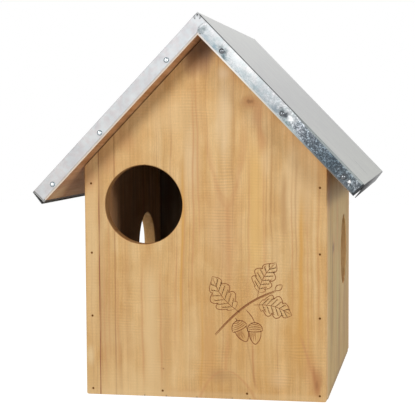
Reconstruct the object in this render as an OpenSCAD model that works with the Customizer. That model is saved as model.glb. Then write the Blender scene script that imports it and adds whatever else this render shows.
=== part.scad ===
// Squirrel house: a nailed softwood box with three round entrances, under a gable roof
// that is capped with one folded zinc sheet and hinged as a lid along the left wall.
// Millimetres. X runs to the right as seen from the front, Y runs to the back, Z is up.
// The origin is the middle of the underside of the box.

/* [Box] */
// Width over both side walls
body_w = 250; // [200:1:320]
// Depth over the front and back panels
body_d = 300; // [240:1:380]
// Height of the side walls at their outer face
wall_h = 238; // [200:1:300]
// Thickness of the front, back and side boards
wall_t = 14; // [12:0.5:20]
// Thickness of the floor board
floor_t = 14; // [10:0.5:20]
// Rounding of the upright outer edges
edge_r = 1.2; // [0.4:0.1:3]
// Rounding of the two bottom corners of the front and back panels
corner_r = 2.4; // [0.5:0.1:6]

/* [Entrances] */
// Diameter of the entrance in the front panel
front_hole_d = 81; // [50:1:90]
// Centre of the front entrance, left of the middle
front_hole_left = 62.6; // [40:0.1:65]
// Height of the centre of the front entrance
front_hole_z = 197.8; // [120:0.1:200]
// Diameter of the entrance in each side wall
side_hole_d = 81; // [50:1:90]
// Centre of each side entrance, measured from the back face of the box
side_hole_back = 84; // [70:1:150]
// Height of the centre of the side entrances
side_hole_z = 134; // [80:1:150]
// Rounding of both rims of every entrance
rim_r = 1.2; // [0.4:0.1:3]

/* [Roof boards] */
// Slope of the roof in degrees
pitch = 46; // [40:0.5:50]
// Thickness of both roof boards
roof_t = 15; // [10:0.5:20]
// How far the right board reaches past the right wall, along the slope
overhang_right = 39.9; // [25:0.1:70]
// How far the left board reaches past the left wall, along the slope
overhang_left = 51.1; // [25:0.1:70]
// How far the roof boards reach past the front panel
overhang_front = 26; // [10:0.5:60]
// How far the roof boards reach past the back panel
overhang_back = 47; // [10:0.5:80]
// Gap between the soffit and the sloping edges of the front and back panels
gable_gap = 1; // [0.6:0.1:3]

/* [Zinc sheet] */
// Thickness of the sheet
sheet_t = 0.6; // [0.4:0.05:1]
// Outer radius of every fold of the sheet
fold_r = 1.2; // [1:0.05:1.3]
// Depth of the front and back flanges, over the sheet
end_flange = 13.8; // [11:0.1:20]
// Depth of the two eave flanges, over the sheet
eave_flange = 15.6; // [11:0.1:22]
// How far the eave flanges spring open after the bend, in degrees from square
eave_open = 8; // [0:0.5:12]
// Width of the cut between neighbouring flanges at each eave corner
corner_cut = 2; // [0.3:0.1:4]
// How far the left flange laps past the ridge, along the right slope
lap_l = 13; // [8:0.5:24]
// Radius of the rounded snip at the end of the lap
lap_snip_r = 9; // [5:0.5:14]
// Length of the joggle that steps the lap over the right flange
joggle_l = 6; // [2:0.5:12]

/* [Brads and nails] */
// Shank diameter of the brads that hold the boards
brad_d = 1.5; // [1.2:0.1:2.5]
// Head diameter of the brads
brad_head_d = 2.3; // [1.8:0.1:3.5]
// Length of the brads
brad_l = 35; // [25:1:45]
// How deep the brad heads are set below the face
brad_sunk = 0.4; // [0:0.1:1.5]
// Height of the lowest brads above the base
brad_low = 6; // [4:0.5:12]
// Distance of the highest brads below the top of the walls
brad_high = 18.5; // [15:0.5:40]
// Distance of each floor brad from the middle of the panel
floor_brad_x = 44; // [20:1:90]
// Distance of the outer ridge brads from the ends of the roof boards
ridge_brad_in = 40; // [20:1:80]
// Shank diameter of the flange nails
clout_d = 2.2; // [1.6:0.1:3]
// Head diameter of the flange nails
clout_head_d = 5.4; // [4:0.1:8]
// Height of the domed head of the flange nails
clout_head_h = 1.5; // [0.8:0.1:2.5]
// Length of the flange nails under the head
clout_l = 20; // [12:1:30]
// Distance of the flange nails below the top face of the board
clout_in = 9.2; // [5:0.1:11]
// Distance of the highest left flange nail from the ridge
left_clout_top = 55; // [25:1:90]
// Distance of the highest right flange nail from the ridge
right_clout_top = 44; // [25:1:90]
// Distance of the lowest flange nails from the eave
clout_eave = 20; // [12:1:40]

/* [Hinges] */
// Length of each hinge
hinge_l = 40; // [30:1:60]
// Width of each leaf, from the pin to its edge
leaf_w = 17; // [13:0.5:22]
// Thickness of the leaves
leaf_t = 1.2; // [0.8:0.1:1.5]
// Outer radius of the knuckles
knuckle_r = 2.7; // [2.4:0.1:4]
// Diameter of the hinge pins
pin_d = 2.5; // [1.6:0.1:3]
// Distance of the middle of each hinge from the nearer face of the box
hinge_inset = 85; // [60:1:110]
// Distance between neighbouring screws in a leaf
screw_pitch = 13; // [9:0.5:18]
// Distance of the screws from the pin
screw_out = 10.5; // [8:0.5:15]
// Shank diameter of the hinge screws
screw_d = 2.6; // [2:0.1:3.5]
// Head diameter of the hinge screws
screw_head_d = 5.4; // [4:0.1:7]
// Length of the hinge screws over the head
screw_l = 11; // [8:0.5:13]

/* [Fits] */
// Radial clearance of nails, brads and screws in their holes
nail_fit = 0.05; // [0.02:0.01:0.2]
// Radial clearance of the pins in the knuckles
pin_fit = 0.1; // [0.05:0.01:0.2]
// Clearance between turning knuckles and what lies round them
turn_fit = 0.3; // [0.2:0.05:0.5]
// Clearance between the closed roof and the tops of the side walls
seat_fit = 0.15; // [0.05:0.05:0.5]

/* [Hidden] */
$fn = 64;

// A cut runs this far past the face it opens
past = 1;
// Planes that only bound a solid lie this far out
far = 60;

half_w = body_w / 2;
half_d = body_d / 2;

// Hand-driven fasteners: shares of the run between the first and the last in a row
left_brad_shares = [0, 0.357, 0.664, 1];
right_brad_shares = [0, 0.369, 0.671, 0.983];
left_clout_shares = [0, 0.58, 1];
right_clout_shares = [0, 0.5, 1];
ridge_brads_n = 4;
fold_steps = 6;

// The roof boards along Y, and the height at which their top faces meet
roof_y0 = -half_d - overhang_front;
roof_y1 = half_d + overhang_back;
roof_l = roof_y1 - roof_y0;
roof_mid_y = (roof_y0 + roof_y1) / 2;
soffit_apex_z = wall_h + half_w * tan(pitch);
apex_z = soffit_apex_z + roof_t / cos(pitch);
// The angle between the slopes, and where the left board starts under the right one
apex_angle = 180 - 2 * pitch;
left_start = roof_t / sin(apex_angle);
// Places down the slopes of the outer faces of the walls, and of the ends of the boards
wall_u = (half_w + roof_t * sin(pitch)) / cos(pitch);
right_end = wall_u + overhang_right;
left_end = wall_u + overhang_left;

// The sloping edges of the front and back panels
gable_z = wall_h - gable_gap / cos(pitch);
gable_tip_z = gable_z + half_w * tan(pitch);

// The hinge pin lies this far from the wall's outer face and from the soffit
pin_off = knuckle_r + turn_fit;
pin_x = -half_w - pin_off;
pin_z = wall_h - pin_off * (tan(pitch) + 1 / cos(pitch));
hinge_ys = [-half_d + hinge_inset, half_d - hinge_inset];
knuckles = 5;
knuckle_gap = 0.2;
knuckle_l = (hinge_l - (knuckles - 1) * knuckle_gap) / knuckles;
pin_head_r = pin_d / 2 + 0.8;
pin_head_h = 0.8;
screw_slot = [4, 0.7, 0.6];
screw_tip_l = 2;

WOOD = [0.86, 0.72, 0.53];
WOOD_SIDE = [0.78, 0.66, 0.5];
WOOD_ROOF = [0.62, 0.46, 0.3];
ZINC = [0.8, 0.81, 0.82];
STEEL = [0.55, 0.56, 0.58];
BRASSED = [0.72, 0.62, 0.38];

// A point [x, z] from its place down a slope: u along the board from the ridge, v below
// the boards' top face. side is 1 on the right slope and -1 on the left one.
function on_slope(side, u, v) = [
    side * (u * cos(pitch) - v * sin(pitch)),
    apex_z - u * sin(pitch) - v * cos(pitch)
];

function reversed(list) = [for (i = [len(list) - 1 : -1 : 0]) list[i]];

// Evenly shared places between two ends
function spread(first, last, shares) = [for (s = shares) first + s * (last - first)];

function slope_end(side) = side > 0 ? right_end : left_end;

// Places [x, z] of the brads in the front and back panels
function panel_brads() = concat(
    [for (side = [-1, 1], share = side > 0 ? right_brad_shares : left_brad_shares)
        [side * (half_w - wall_t / 2), brad_low + share * (wall_h - brad_high - brad_low)]],
    [for (side = [-1, 1]) [side * floor_brad_x, min(brad_low, floor_t / 2)]]
);

// Places down the slope of the nails in one front or back flange
function clouts(side) = side > 0
    ? spread(right_clout_top, right_end - clout_eave, right_clout_shares)
    : spread(left_clout_top, left_end - clout_eave, left_clout_shares);

// Places along the roof of the brads through the right board into the left one
function ridge_ys() =
    [for (i = [0 : ridge_brads_n - 1])
        roof_y0 + ridge_brad_in + i * (roof_l - 2 * ridge_brad_in) / (ridge_brads_n - 1)];

// Stands a flat XZ outline up and gives it a depth along Y
module along_y(y0, y1) {
    translate([0, y1, 0]) rotate([90, 0, 0]) linear_extrude(y1 - y0) children();
}

// Lays children out on a slope: their X runs down the board, their Z rises from its top face
module on_board(side) {
    translate([0, 0, apex_z]) mirror([side > 0 ? 0 : 1, 0, 0]) rotate([0, pitch, 0]) children();
}

// A round entrance through a board of thickness t, along +Z from the origin, with both
// rims rounded over
module entrance_cut(d, t) {
    translate([0, 0, -past]) cylinder(d = d, h = t + 2 * past);
    for (flip = [0, 1])
        translate([0, 0, flip * t]) mirror([0, 0, flip])
            rotate_extrude()
                difference() {
                    translate([0, -past]) square([d / 2 + rim_r, rim_r + past]);
                    translate([d / 2 + rim_r, rim_r]) circle(rim_r);
                    translate([d / 2 + rim_r / 2, rim_r]) square([rim_r, rim_r]);
                }
}

// A brad from its head at the origin down -Z, grown by fit for its hole
module brad(fit = 0) {
    head_h = 1 + brad_sunk;
    head_top = fit > 0 ? past : -brad_sunk;
    translate([0, 0, -head_h]) cylinder(d = brad_head_d + 2 * fit, h = head_h + head_top);
    translate([0, 0, -brad_l - fit]) cylinder(d = brad_d + 2 * fit, h = brad_l - head_h / 2);
}

// A domed flange nail with its head standing on the origin and its shank down -Z
module clout_nail() {
    dome_r = (pow(clout_head_d / 2, 2) + pow(clout_head_h, 2)) / (2 * clout_head_h);
    intersection() {
        translate([0, 0, clout_head_h - dome_r]) sphere(dome_r);
        cylinder(d = clout_head_d + past, h = clout_head_h);
    }
    translate([0, 0, -clout_l]) cylinder(d = clout_d, h = clout_l + clout_head_h / 2);
}

module clout_hole() {
    translate([0, 0, -clout_l - nail_fit])
        cylinder(d = clout_d + 2 * nail_fit, h = clout_l + nail_fit + past);
}

// A countersunk wood screw with its head flush at the origin and its shank down -Z
module wood_screw() {
    difference() {
        union() {
            translate([0, 0, -leaf_t]) cylinder(d1 = screw_d, d2 = screw_head_d, h = leaf_t);
            translate([0, 0, screw_tip_l - screw_l])
                cylinder(d = screw_d, h = screw_l - screw_tip_l - leaf_t / 2);
            translate([0, 0, -screw_l]) cylinder(d1 = screw_d / 4, d2 = screw_d, h = screw_tip_l);
        }
        cube([screw_slot[0], screw_slot[1], 2 * screw_slot[2]], center = true);
    }
}

module wood_screw_hole() {
    translate([0, 0, -screw_l - nail_fit])
        cylinder(d = screw_d + 2 * nail_fit, h = screw_l + nail_fit + past);
}

// Puts children at every brad of the front panel, with their Z pointing out of the face
module at_panel_brads() {
    for (p = panel_brads())
        translate([p[0], -half_d, p[1]]) rotate([90, 0, 0]) children();
}

// Puts children at every flange nail of the front, with their Z pointing out of the flange
module at_clouts() {
    for (side = [-1, 1], u = clouts(side)) {
        p = on_slope(side, u, clout_in);
        translate([p[0], roof_y0 - sheet_t, p[1]]) rotate([90, 0, 0]) children();
    }
}

// Puts children at every ridge brad, with their Z pointing out of the right board's top
module at_ridge_brads() {
    for (y = ridge_ys())
        on_board(1) translate([left_start / 2, y, 0]) children();
}

// Turns what is made for the front of the roof round to the back of it
module roof_back() {
    translate([0, 2 * roof_mid_y, 0]) mirror([0, 1, 0]) children();
}

// The outline of the front and back panels, with softened bottom corners
module gable_outline() {
    difference() {
        polygon([[-half_w, 0], [half_w, 0], [half_w, gable_z], [0, gable_tip_z], [-half_w, gable_z]]);
        for (side = [-1, 1])
            difference() {
                translate([side * (half_w - corner_r / 2 + past / 2), corner_r / 2 - past / 2])
                    square(corner_r + past, center = true);
                translate([side * (half_w - corner_r), corner_r]) circle(corner_r);
            }
    }
}

// A gable panel as it stands at the front, with its upright outer edges rounded
module gable_panel() {
    intersection() {
        along_y(-half_d, -half_d + wall_t) gable_outline();
        linear_extrude(gable_tip_z + past)
            union() {
                translate([-half_w, -half_d + edge_r]) square([body_w, wall_t]);
                translate([-half_w + edge_r, -half_d]) square([body_w - 2 * edge_r, wall_t]);
                for (side = [-1, 1])
                    translate([side * (half_w - edge_r), -half_d + edge_r]) circle(edge_r);
            }
    }
}

module front_panel() {
    color(WOOD) difference() {
        gable_panel();
        translate([-front_hole_left, -half_d + wall_t, front_hole_z])
            rotate([90, 0, 0]) entrance_cut(front_hole_d, wall_t);
        at_panel_brads() brad(nail_fit);
    }
}

module back_panel() {
    color(WOOD) mirror([0, 1, 0]) difference() {
        gable_panel();
        at_panel_brads() brad(nail_fit);
    }
}

// A side wall as it stands on the right, its top bevelled to seat flat under the roof
module side_wall() {
    seat_z = wall_h - seat_fit / cos(pitch);
    difference() {
        along_y(-half_d + wall_t, half_d - wall_t)
            polygon([
                [half_w - wall_t, 0], [half_w, 0], [half_w, seat_z],
                [half_w - wall_t, seat_z + wall_t * tan(pitch)]
            ]);
        translate([half_w - wall_t, half_d - side_hole_back, side_hole_z])
            rotate([0, 90, 0]) entrance_cut(side_hole_d, wall_t);
    }
}

// The holes of both panels' brads
module brad_holes() {
    at_panel_brads() brad(nail_fit);
    mirror([0, 1, 0]) at_panel_brads() brad(nail_fit);
}

module right_side() {
    color(WOOD_SIDE) difference() {
        side_wall();
        brad_holes();
    }
}

module left_side() {
    color(WOOD_SIDE) difference() {
        mirror([1, 0, 0]) side_wall();
        brad_holes();
        at_wall_screws() wood_screw_hole();
    }
}

module floor() {
    inner_w = body_w - 2 * wall_t;
    inner_d = body_d - 2 * wall_t;
    color(WOOD_SIDE) difference() {
        translate([-inner_w / 2, -inner_d / 2, 0]) cube([inner_w, inner_d, floor_t]);
        brad_holes();
    }
}

// Points on an arc round c, from angle a0 to a1
function arc(c, r, a0, a1) =
    [for (i = [0 : fold_steps]) let (a = a0 + (a1 - a0) * i / fold_steps)
        c + r * [cos(a), sin(a)]];

// The outer face of the fold where a slope turns down into its eave flange, from the slope on
function eave_fold(side) =
    let (
        inner_r = fold_r - sheet_t,
        back = inner_r * (1 - sin(eave_open)) / cos(eave_open),
        c = on_slope(side, slope_end(side) - back, inner_r)
    )
    arc(c, fold_r, 90 - side * pitch, 90 - side * (pitch + 90 - eave_open));

module nail_holes_of_flanges() {
    at_clouts() clout_hole();
    roof_back() at_clouts() clout_hole();
}

// The right board runs up to the ridge and covers the end of the left one. Its own end lies
// in the plane of the left slope.
module right_roof_board() {
    color(WOOD_ROOF) difference() {
        along_y(roof_y0, roof_y1)
            polygon([
                on_slope(1, 0, 0), on_slope(1, right_end, 0), on_slope(1, right_end, roof_t),
                on_slope(1, roof_t / tan(apex_angle), roof_t)
            ]);
        nail_holes_of_flanges();
        at_ridge_brads() brad(nail_fit);
    }
}

module left_roof_board() {
    under_right = (roof_t + roof_t * cos(apex_angle)) / sin(apex_angle);
    color(WOOD_ROOF) difference() {
        along_y(roof_y0, roof_y1)
            polygon([
                on_slope(-1, left_start, 0), on_slope(-1, left_end, 0),
                on_slope(-1, left_end, roof_t), on_slope(-1, under_right, roof_t)
            ]);
        nail_holes_of_flanges();
        at_ridge_brads() brad(nail_fit);
        at_roof_screws() wood_screw_hole();
    }
}

// The outline of the folded sheet from the front: both slopes, the eave flanges, and the end
// flanges, which stop short of the eave flanges
module sheet_outline() {
    ridge_c = [0, apex_z + sheet_t / cos(pitch) - fold_r / cos(pitch)];
    deep = end_flange - sheet_t;
    out = [sin(eave_open), cos(eave_open)];
    function below(side) =
        let (end = slope_end(side), tip = [end, 0] + (eave_flange - sheet_t) * out) [
            on_slope(side, tip[0] + sheet_t * out[1], tip[1] - sheet_t * out[0]),
            on_slope(side, tip[0], tip[1]), on_slope(side, end, 0),
            on_slope(side, end - corner_cut, 0), on_slope(side, end - corner_cut, deep)
        ];
    polygon(concat(
        reversed(eave_fold(-1)), arc(ridge_c, fold_r, 90 + pitch, 90 - pitch), eave_fold(1),
        below(1), [[0, apex_z - deep / cos(pitch)]], reversed(below(-1))
    ));
}

// The space under the sheet: the boards, and all below them
module under_sheet() {
    along_y(roof_y0, roof_y1)
        polygon([
            on_slope(-1, left_end, far), on_slope(-1, left_end, 0), [0, apex_z],
            on_slope(1, right_end, 0), on_slope(1, right_end, far)
        ]);
}

// What rounds the front folds of both slopes, for a flange whose face is at face_y. Its
// section is drawn as depth below the sheet's top face and place along the roof.
module fold_cutters(face_y) {
    for (side = [-1, 1])
        on_board(side) translate([-past, 0, sheet_t]) rotate([0, 90, 0])
            linear_extrude(slope_end(side) + 2 * past)
                polygon(concat(
                    [[-past, face_y - past], [fold_r, face_y - past]],
                    arc([fold_r, face_y + fold_r], fold_r, 270, 180),
                    [[-past, face_y + fold_r]]
                ));
}

// The outline of the end of the left flange, lapped past the ridge over the right flange
// and snipped round
module lap_outline() {
    deep = end_flange - sheet_t;
    snip = [lap_snip_r, apex_z - deep / cos(pitch)];
    difference() {
        polygon([
            on_slope(-1, joggle_l + lap_l, -sheet_t),
            [0, apex_z + sheet_t / cos(pitch)],
            on_slope(1, lap_l, -sheet_t),
            on_slope(1, lap_l, deep),
            [0, apex_z - deep / cos(pitch)],
            on_slope(-1, joggle_l + lap_l, deep)
        ]);
        translate(snip) circle(lap_snip_r);
        translate([snip[0], snip[1] - far]) square([far, far]);
    }
}

// The lap itself: a joggle steps it up from the left flange, by one thickness
module front_lap() {
    face_y = roof_y0 - sheet_t;
    root_y = face_y + sheet_t / 2;
    difference() {
        intersection() {
            along_y(face_y - sheet_t, root_y) lap_outline();
            on_board(-1) translate([0, 0, -far]) linear_extrude(2 * far)
                polygon([
                    [joggle_l + lap_l, face_y], [lap_l, face_y - sheet_t],
                    [-far, face_y - sheet_t], [-far, root_y], [joggle_l + lap_l, root_y]
                ]);
        }
        fold_cutters(face_y - sheet_t);
    }
}

// The sheet is one thickness all over, folded down at both eaves and over both ends of the
// boards
module zinc_cover() {
    color(ZINC) difference() {
        union() {
            difference() {
                along_y(roof_y0 - sheet_t, roof_y1 + sheet_t) sheet_outline();
                under_sheet();
                fold_cutters(roof_y0 - sheet_t);
                roof_back() fold_cutters(roof_y0 - sheet_t);
            }
            front_lap();
            roof_back() front_lap();
        }
        nail_holes_of_flanges();
    }
}

// One hinge leaf round a pin along Y at the origin: its plate hangs down -Z with its back
// at X = pin_off, and it carries the knuckles whose numbers have the given remainder
module hinge_leaf(odd) {
    step = knuckle_l + knuckle_gap;
    difference() {
        union() {
            translate([pin_off - leaf_t, -hinge_l / 2, -leaf_w]) cube([leaf_t, hinge_l, leaf_w]);
            for (i = [odd : 2 : knuckles - 1])
                translate([0, -hinge_l / 2 + i * step, 0]) rotate([-90, 0, 0])
                    cylinder(r = knuckle_r, h = knuckle_l);
        }
        for (i = [1 - odd : 2 : knuckles - 1])
            translate([0, -hinge_l / 2 + i * step - knuckle_gap, 0]) rotate([-90, 0, 0])
                cylinder(r = knuckle_r + turn_fit, h = knuckle_l + 2 * knuckle_gap);
        translate([0, -hinge_l / 2 - past, 0]) rotate([-90, 0, 0])
            cylinder(r = pin_d / 2 + pin_fit, h = hinge_l + 2 * past);
        at_leaf_screws() {
            translate([0, 0, -leaf_t - past])
                cylinder(d = screw_d + 4 * nail_fit, h = leaf_t + 2 * past);
            translate([0, 0, -leaf_t])
                cylinder(d1 = screw_d + 4 * nail_fit, d2 = screw_head_d + 4 * nail_fit, h = leaf_t);
            cylinder(d = screw_head_d + 4 * nail_fit, h = past);
        }
    }
}

// Puts children at the screws of a leaf at the origin, with their Z pointing out of it
module at_leaf_screws() {
    for (i = [-1, 0, 1])
        translate([pin_off - leaf_t, i * screw_pitch, -screw_out])
            rotate([0, -90, 0]) children();
}

module at_wall_leaf(y) {
    translate([pin_x, y, pin_z]) children();
}

module at_roof_leaf(y) {
    translate([pin_x, y, pin_z]) rotate([0, 90 - pitch, 0]) mirror([1, 0, 0]) children();
}

module at_wall_screws() {
    for (y = hinge_ys) at_wall_leaf(y) at_leaf_screws() children();
}

module at_roof_screws() {
    for (y = hinge_ys) at_roof_leaf(y) at_leaf_screws() children();
}

module hinge_pin(y) {
    color(STEEL) translate([pin_x, y, pin_z]) rotate([90, 0, 0]) {
        reach = hinge_l / 2 + knuckle_gap / 2;
        cylinder(d = pin_d, h = 2 * (reach + pin_head_h), center = true);
        for (end = [-1, 1])
            translate([0, 0, end * (reach + pin_head_h / 2)])
                cylinder(r = pin_head_r, h = pin_head_h, center = true);
    }
}

module front_panel_brads() {
    color(STEEL) at_panel_brads() brad();
}

module back_panel_brads() {
    color(STEEL) mirror([0, 1, 0]) at_panel_brads() brad();
}

module ridge_brads() {
    color(STEEL) at_ridge_brads() brad();
}

module front_flange_nails() {
    color(STEEL) at_clouts() clout_nail();
}

module back_flange_nails() {
    color(STEEL) roof_back() at_clouts() clout_nail();
}

module front_hinge_wall_leaf() {
    color(BRASSED) at_wall_leaf(hinge_ys[0]) hinge_leaf(0);
}

module front_hinge_roof_leaf() {
    color(BRASSED) at_roof_leaf(hinge_ys[0]) hinge_leaf(1);
}

module rear_hinge_wall_leaf() {
    color(BRASSED) at_wall_leaf(hinge_ys[1]) hinge_leaf(0);
}

module rear_hinge_roof_leaf() {
    color(BRASSED) at_roof_leaf(hinge_ys[1]) hinge_leaf(1);
}

module front_hinge_pin() {
    hinge_pin(hinge_ys[0]);
}

module rear_hinge_pin() {
    hinge_pin(hinge_ys[1]);
}

module hinge_wall_screws() {
    color(BRASSED) at_wall_screws() wood_screw();
}

module hinge_roof_screws() {
    color(BRASSED) at_roof_screws() wood_screw();
}

front_panel();
back_panel();
left_side();
right_side();
floor();
left_roof_board();
right_roof_board();
zinc_cover();
front_panel_brads();
back_panel_brads();
ridge_brads();
front_flange_nails();
back_flange_nails();
front_hinge_wall_leaf();
front_hinge_roof_leaf();
front_hinge_pin();
rear_hinge_wall_leaf();
rear_hinge_roof_leaf();
rear_hinge_pin();
hinge_wall_screws();
hinge_roof_screws();
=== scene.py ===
"""Squirrel house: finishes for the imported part, a scorched sprig and the studio round it.

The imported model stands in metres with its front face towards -Y and its base on Z = 0. Every
finish reads Object coordinates in millimetres, so that grain, knots, spangle and stains stay
where they are on the piece from any side and at any pose. Names that end in _mm are lengths in
millimetres, and all others are in metres.
"""

from __future__ import annotations

import logging
import math
from dataclasses import dataclass, field
from enum import Enum
from typing import Any, Optional, Sequence, Union

import bpy
import numpy as np
from mathutils import Matrix, Vector


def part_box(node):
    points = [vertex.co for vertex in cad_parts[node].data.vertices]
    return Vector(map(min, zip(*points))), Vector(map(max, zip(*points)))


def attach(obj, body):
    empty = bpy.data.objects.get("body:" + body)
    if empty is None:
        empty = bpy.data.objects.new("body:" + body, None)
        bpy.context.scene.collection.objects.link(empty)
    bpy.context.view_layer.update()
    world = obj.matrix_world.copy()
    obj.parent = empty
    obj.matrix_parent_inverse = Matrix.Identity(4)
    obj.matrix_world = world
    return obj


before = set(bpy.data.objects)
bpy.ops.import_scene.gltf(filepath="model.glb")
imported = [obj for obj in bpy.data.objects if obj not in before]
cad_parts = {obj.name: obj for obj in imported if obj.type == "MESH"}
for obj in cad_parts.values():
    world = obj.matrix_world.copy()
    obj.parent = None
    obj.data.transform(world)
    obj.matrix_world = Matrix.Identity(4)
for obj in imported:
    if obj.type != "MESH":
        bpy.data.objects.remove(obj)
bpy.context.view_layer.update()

LOG = logging.getLogger("squirrel_house")
MM = 0.001
IMAGE_PX = 415
SENSOR_MM = 36.0
# The roof's pitch, and the way from the ridge down to each eave
PITCH = math.radians(46.0)
LEFT_RUN_MM = 246.6
RIGHT_RUN_MM = 235.4

Socket = bpy.types.NodeSocket
Group = bpy.types.NodeTree
Material = bpy.types.Material
Source = Union["Value", float, Sequence[float]]
Colour = tuple[float, float, float]
Stops = tuple[tuple[float, Colour], ...]


def grey(level: float) -> Colour:
    """A colour with three equal shares."""
    return (level, level, level)


class Along(Enum):
    """How a board lies, as the axes that are across its grain, through it and along its grain."""

    UPRIGHT_FRONT = (0, 1, 2)
    UPRIGHT_SIDE = (1, 0, 2)
    DEPTH = (0, 2, 1)


class Value:
    """A number, vector or colour in a node tree. Arithmetic on it adds nodes to the tree."""

    def __init__(self, tree: Tree, socket: Socket) -> None:
        """Wraps the output of a node."""
        self.tree = tree
        self.socket = socket

    def __add__(self, other: Source) -> Value:
        """The sum."""
        return self.tree.step("ADD", self, other)

    def __sub__(self, other: Source) -> Value:
        """The difference."""
        return self.tree.step("SUBTRACT", self, other)

    def __rsub__(self, other: Source) -> Value:
        """The difference from a constant."""
        return self.tree.step("SUBTRACT", other, self)

    def __mul__(self, other: Source) -> Value:
        """The product."""
        return self.tree.step("MULTIPLY", self, other)

    def __truediv__(self, other: Source) -> Value:
        """The quotient."""
        return self.tree.step("DIVIDE", self, other)

    def __gt__(self, other: Source) -> Value:
        """1 where it is the greater one, and 0 elsewhere."""
        return self.tree.step("GREATER_THAN", self, other)

    def __abs__(self) -> Value:
        """The number without its sign."""
        return self.tree.step("ABSOLUTE", self)


class Tree:
    """A shader node tree, with one short method for each kind of node that is used here."""

    # The first colour input of a mix node, and its colour output
    MIX_A = 6
    MIXED = 2

    def __init__(self, tree: bpy.types.NodeTree) -> None:
        """Takes over the tree, and empties it."""
        self.tree = tree
        tree.nodes.clear()

    def add(self, kind: str, **settings: Any) -> bpy.types.Node:
        """Adds a node.

        Args:
            kind: The node's type, as Blender names it.
            settings: Attributes to set on the node.

        Returns:
            The new node.
        """
        node = self.tree.nodes.new(kind)
        for name, value in settings.items():
            setattr(node, name, value)
        return node

    def feed(self, socket: Socket, source: Source) -> None:
        """Links a socket to a value, or sets a constant on it.

        Args:
            socket: The input to feed.
            source: A value in this tree, a number, a vector or a colour.
        """
        if isinstance(source, Value):
            self.tree.links.new(source.socket, socket)
            return
        if socket.type in ("VECTOR", "RGBA") and not isinstance(source, tuple):
            source = grey(source)
        socket.default_value = (*source, 1.0) if socket.type == "RGBA" else source

    def fed(self, kind: str, *sources: Source, output: int = 0,
            named: Optional[dict[Union[int, str], Source]] = None, **settings: Any) -> Value:
        """Adds a node and feeds its inputs.

        Args:
            kind: The node's type, as Blender names it.
            sources: What its inputs are fed with, in order.
            output: Which of its outputs is wanted.
            named: What other inputs are fed with, by name or number.
            settings: Attributes to set on the node.

        Returns:
            That output.
        """
        node = self.add(kind, **settings)
        for key, source in (*enumerate(sources), *(named or {}).items()):
            self.feed(node.inputs[key], source)
        return Value(self, node.outputs[output])

    def end(self, kind: str, shader: Value) -> None:
        """Feeds the tree's output node with a shader."""
        self.feed(self.add(kind).inputs["Surface"], shader)

    def step(self, operation: str, *sources: Source) -> Value:
        """One step of arithmetic, on vectors where one of the sources is a vector or a colour.

        Args:
            operation: The operation, as Blender names it.
            sources: What it works on.

        Returns:
            The result.
        """
        wide = any(source.socket.type != "VALUE" if isinstance(source, Value)
                   else isinstance(source, tuple) for source in sources)
        return self.fed("ShaderNodeVectorMath" if wide else "ShaderNodeMath", *sources,
                        output=1 if operation == "LENGTH" else 0, operation=operation)

    def parts(self, vector: Value) -> tuple[Value, ...]:
        """The X, Y and Z of a vector.

        Args:
            vector: The vector.

        Returns:
            The three numbers.
        """
        node = self.add("ShaderNodeSeparateXYZ")
        self.feed(node.inputs[0], vector)
        return tuple(Value(self, socket) for socket in node.outputs)

    def joined(self, x: Source, y: Source, z: Source) -> Value:
        """The vector made up of three numbers."""
        return self.fed("ShaderNodeCombineXYZ", x, y, z)

    def length(self, x: Source, y: Source) -> Value:
        """The length of a flat vector."""
        return self.step("LENGTH", self.joined(x, y, 0.0))

    def noise(self, vector: Value, scale: float = 1.0, detail: float = 2.0,
              roughness: float = 0.5) -> Value:
        """A soft random number round a half, with finer layers of a number and a strength."""
        return self.fed("ShaderNodeTexNoise", named={
            "Vector": vector, "Scale": scale, "Detail": detail, "Roughness": roughness})

    def cells(self, vector: Value, scale: float) -> Value:
        """A random number from 0 to 1 for each crystal, of which a unit holds that many."""
        named = {"Vector": vector, "Scale": scale}
        return self.parts(self.fed("ShaderNodeTexVoronoi", output=1, named=named))[0]

    def ease(self, value: Source, low: float, high: float, start: float = 0.0,
             end: float = 1.0) -> Value:
        """A smooth step.

        Args:
            value: The number to map.
            low: Where the step starts.
            high: Where the step ends.
            start: The result at and before low.
            end: The result at and after high.

        Returns:
            The mapped number.
        """
        ends = (low, high, start, end) if low < high else (high, low, end, start)
        return self.fed("ShaderNodeMapRange", value, *ends, interpolation_type="SMOOTHSTEP")

    def ramp(self, value: Value, stops: Stops) -> Value:
        """A row of colours.

        Args:
            value: A number from 0 to 1.
            stops: Places from 0 to 1 and their colours, in order.

        Returns:
            The colour at the value.
        """
        node = self.add("ShaderNodeValToRGB")
        band = node.color_ramp
        for _ in stops[2:]:
            band.elements.new(0.5)
        for element, (place, colour) in zip(band.elements, stops):
            element.position = place
            element.color = (*colour, 1.0)
        self.feed(node.inputs[0], value)
        return Value(self, node.outputs[0])

    def mix(self, share: Source, a: Source, b: Source) -> Value:
        """A mix of two colours, with that share of the second one."""
        return self.fed("ShaderNodeMix", output=self.MIXED, data_type="RGBA",
                        named={"Factor": share, self.MIX_A: a, self.MIX_A + 1: b})

    def shaded(self, colour: Value, value: Value, low: Source, high: Source) -> Value:
        """A colour multiplied by low where the value is 0, and by high where it is 1."""
        return colour * self.mix(value, low, high)

    def use(self, group: Group, **inputs: Source) -> dict[str, Value]:
        """Places a shared effect.

        Args:
            group: The effect's node group.
            inputs: What its inputs are fed with, by name.

        Returns:
            The outputs of the effect, by name.
        """
        node = self.add("ShaderNodeGroup", node_tree=group)
        for name, source in inputs.items():
            self.feed(node.inputs[name], source)
        return {socket.name: Value(self, socket) for socket in node.outputs}


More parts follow.
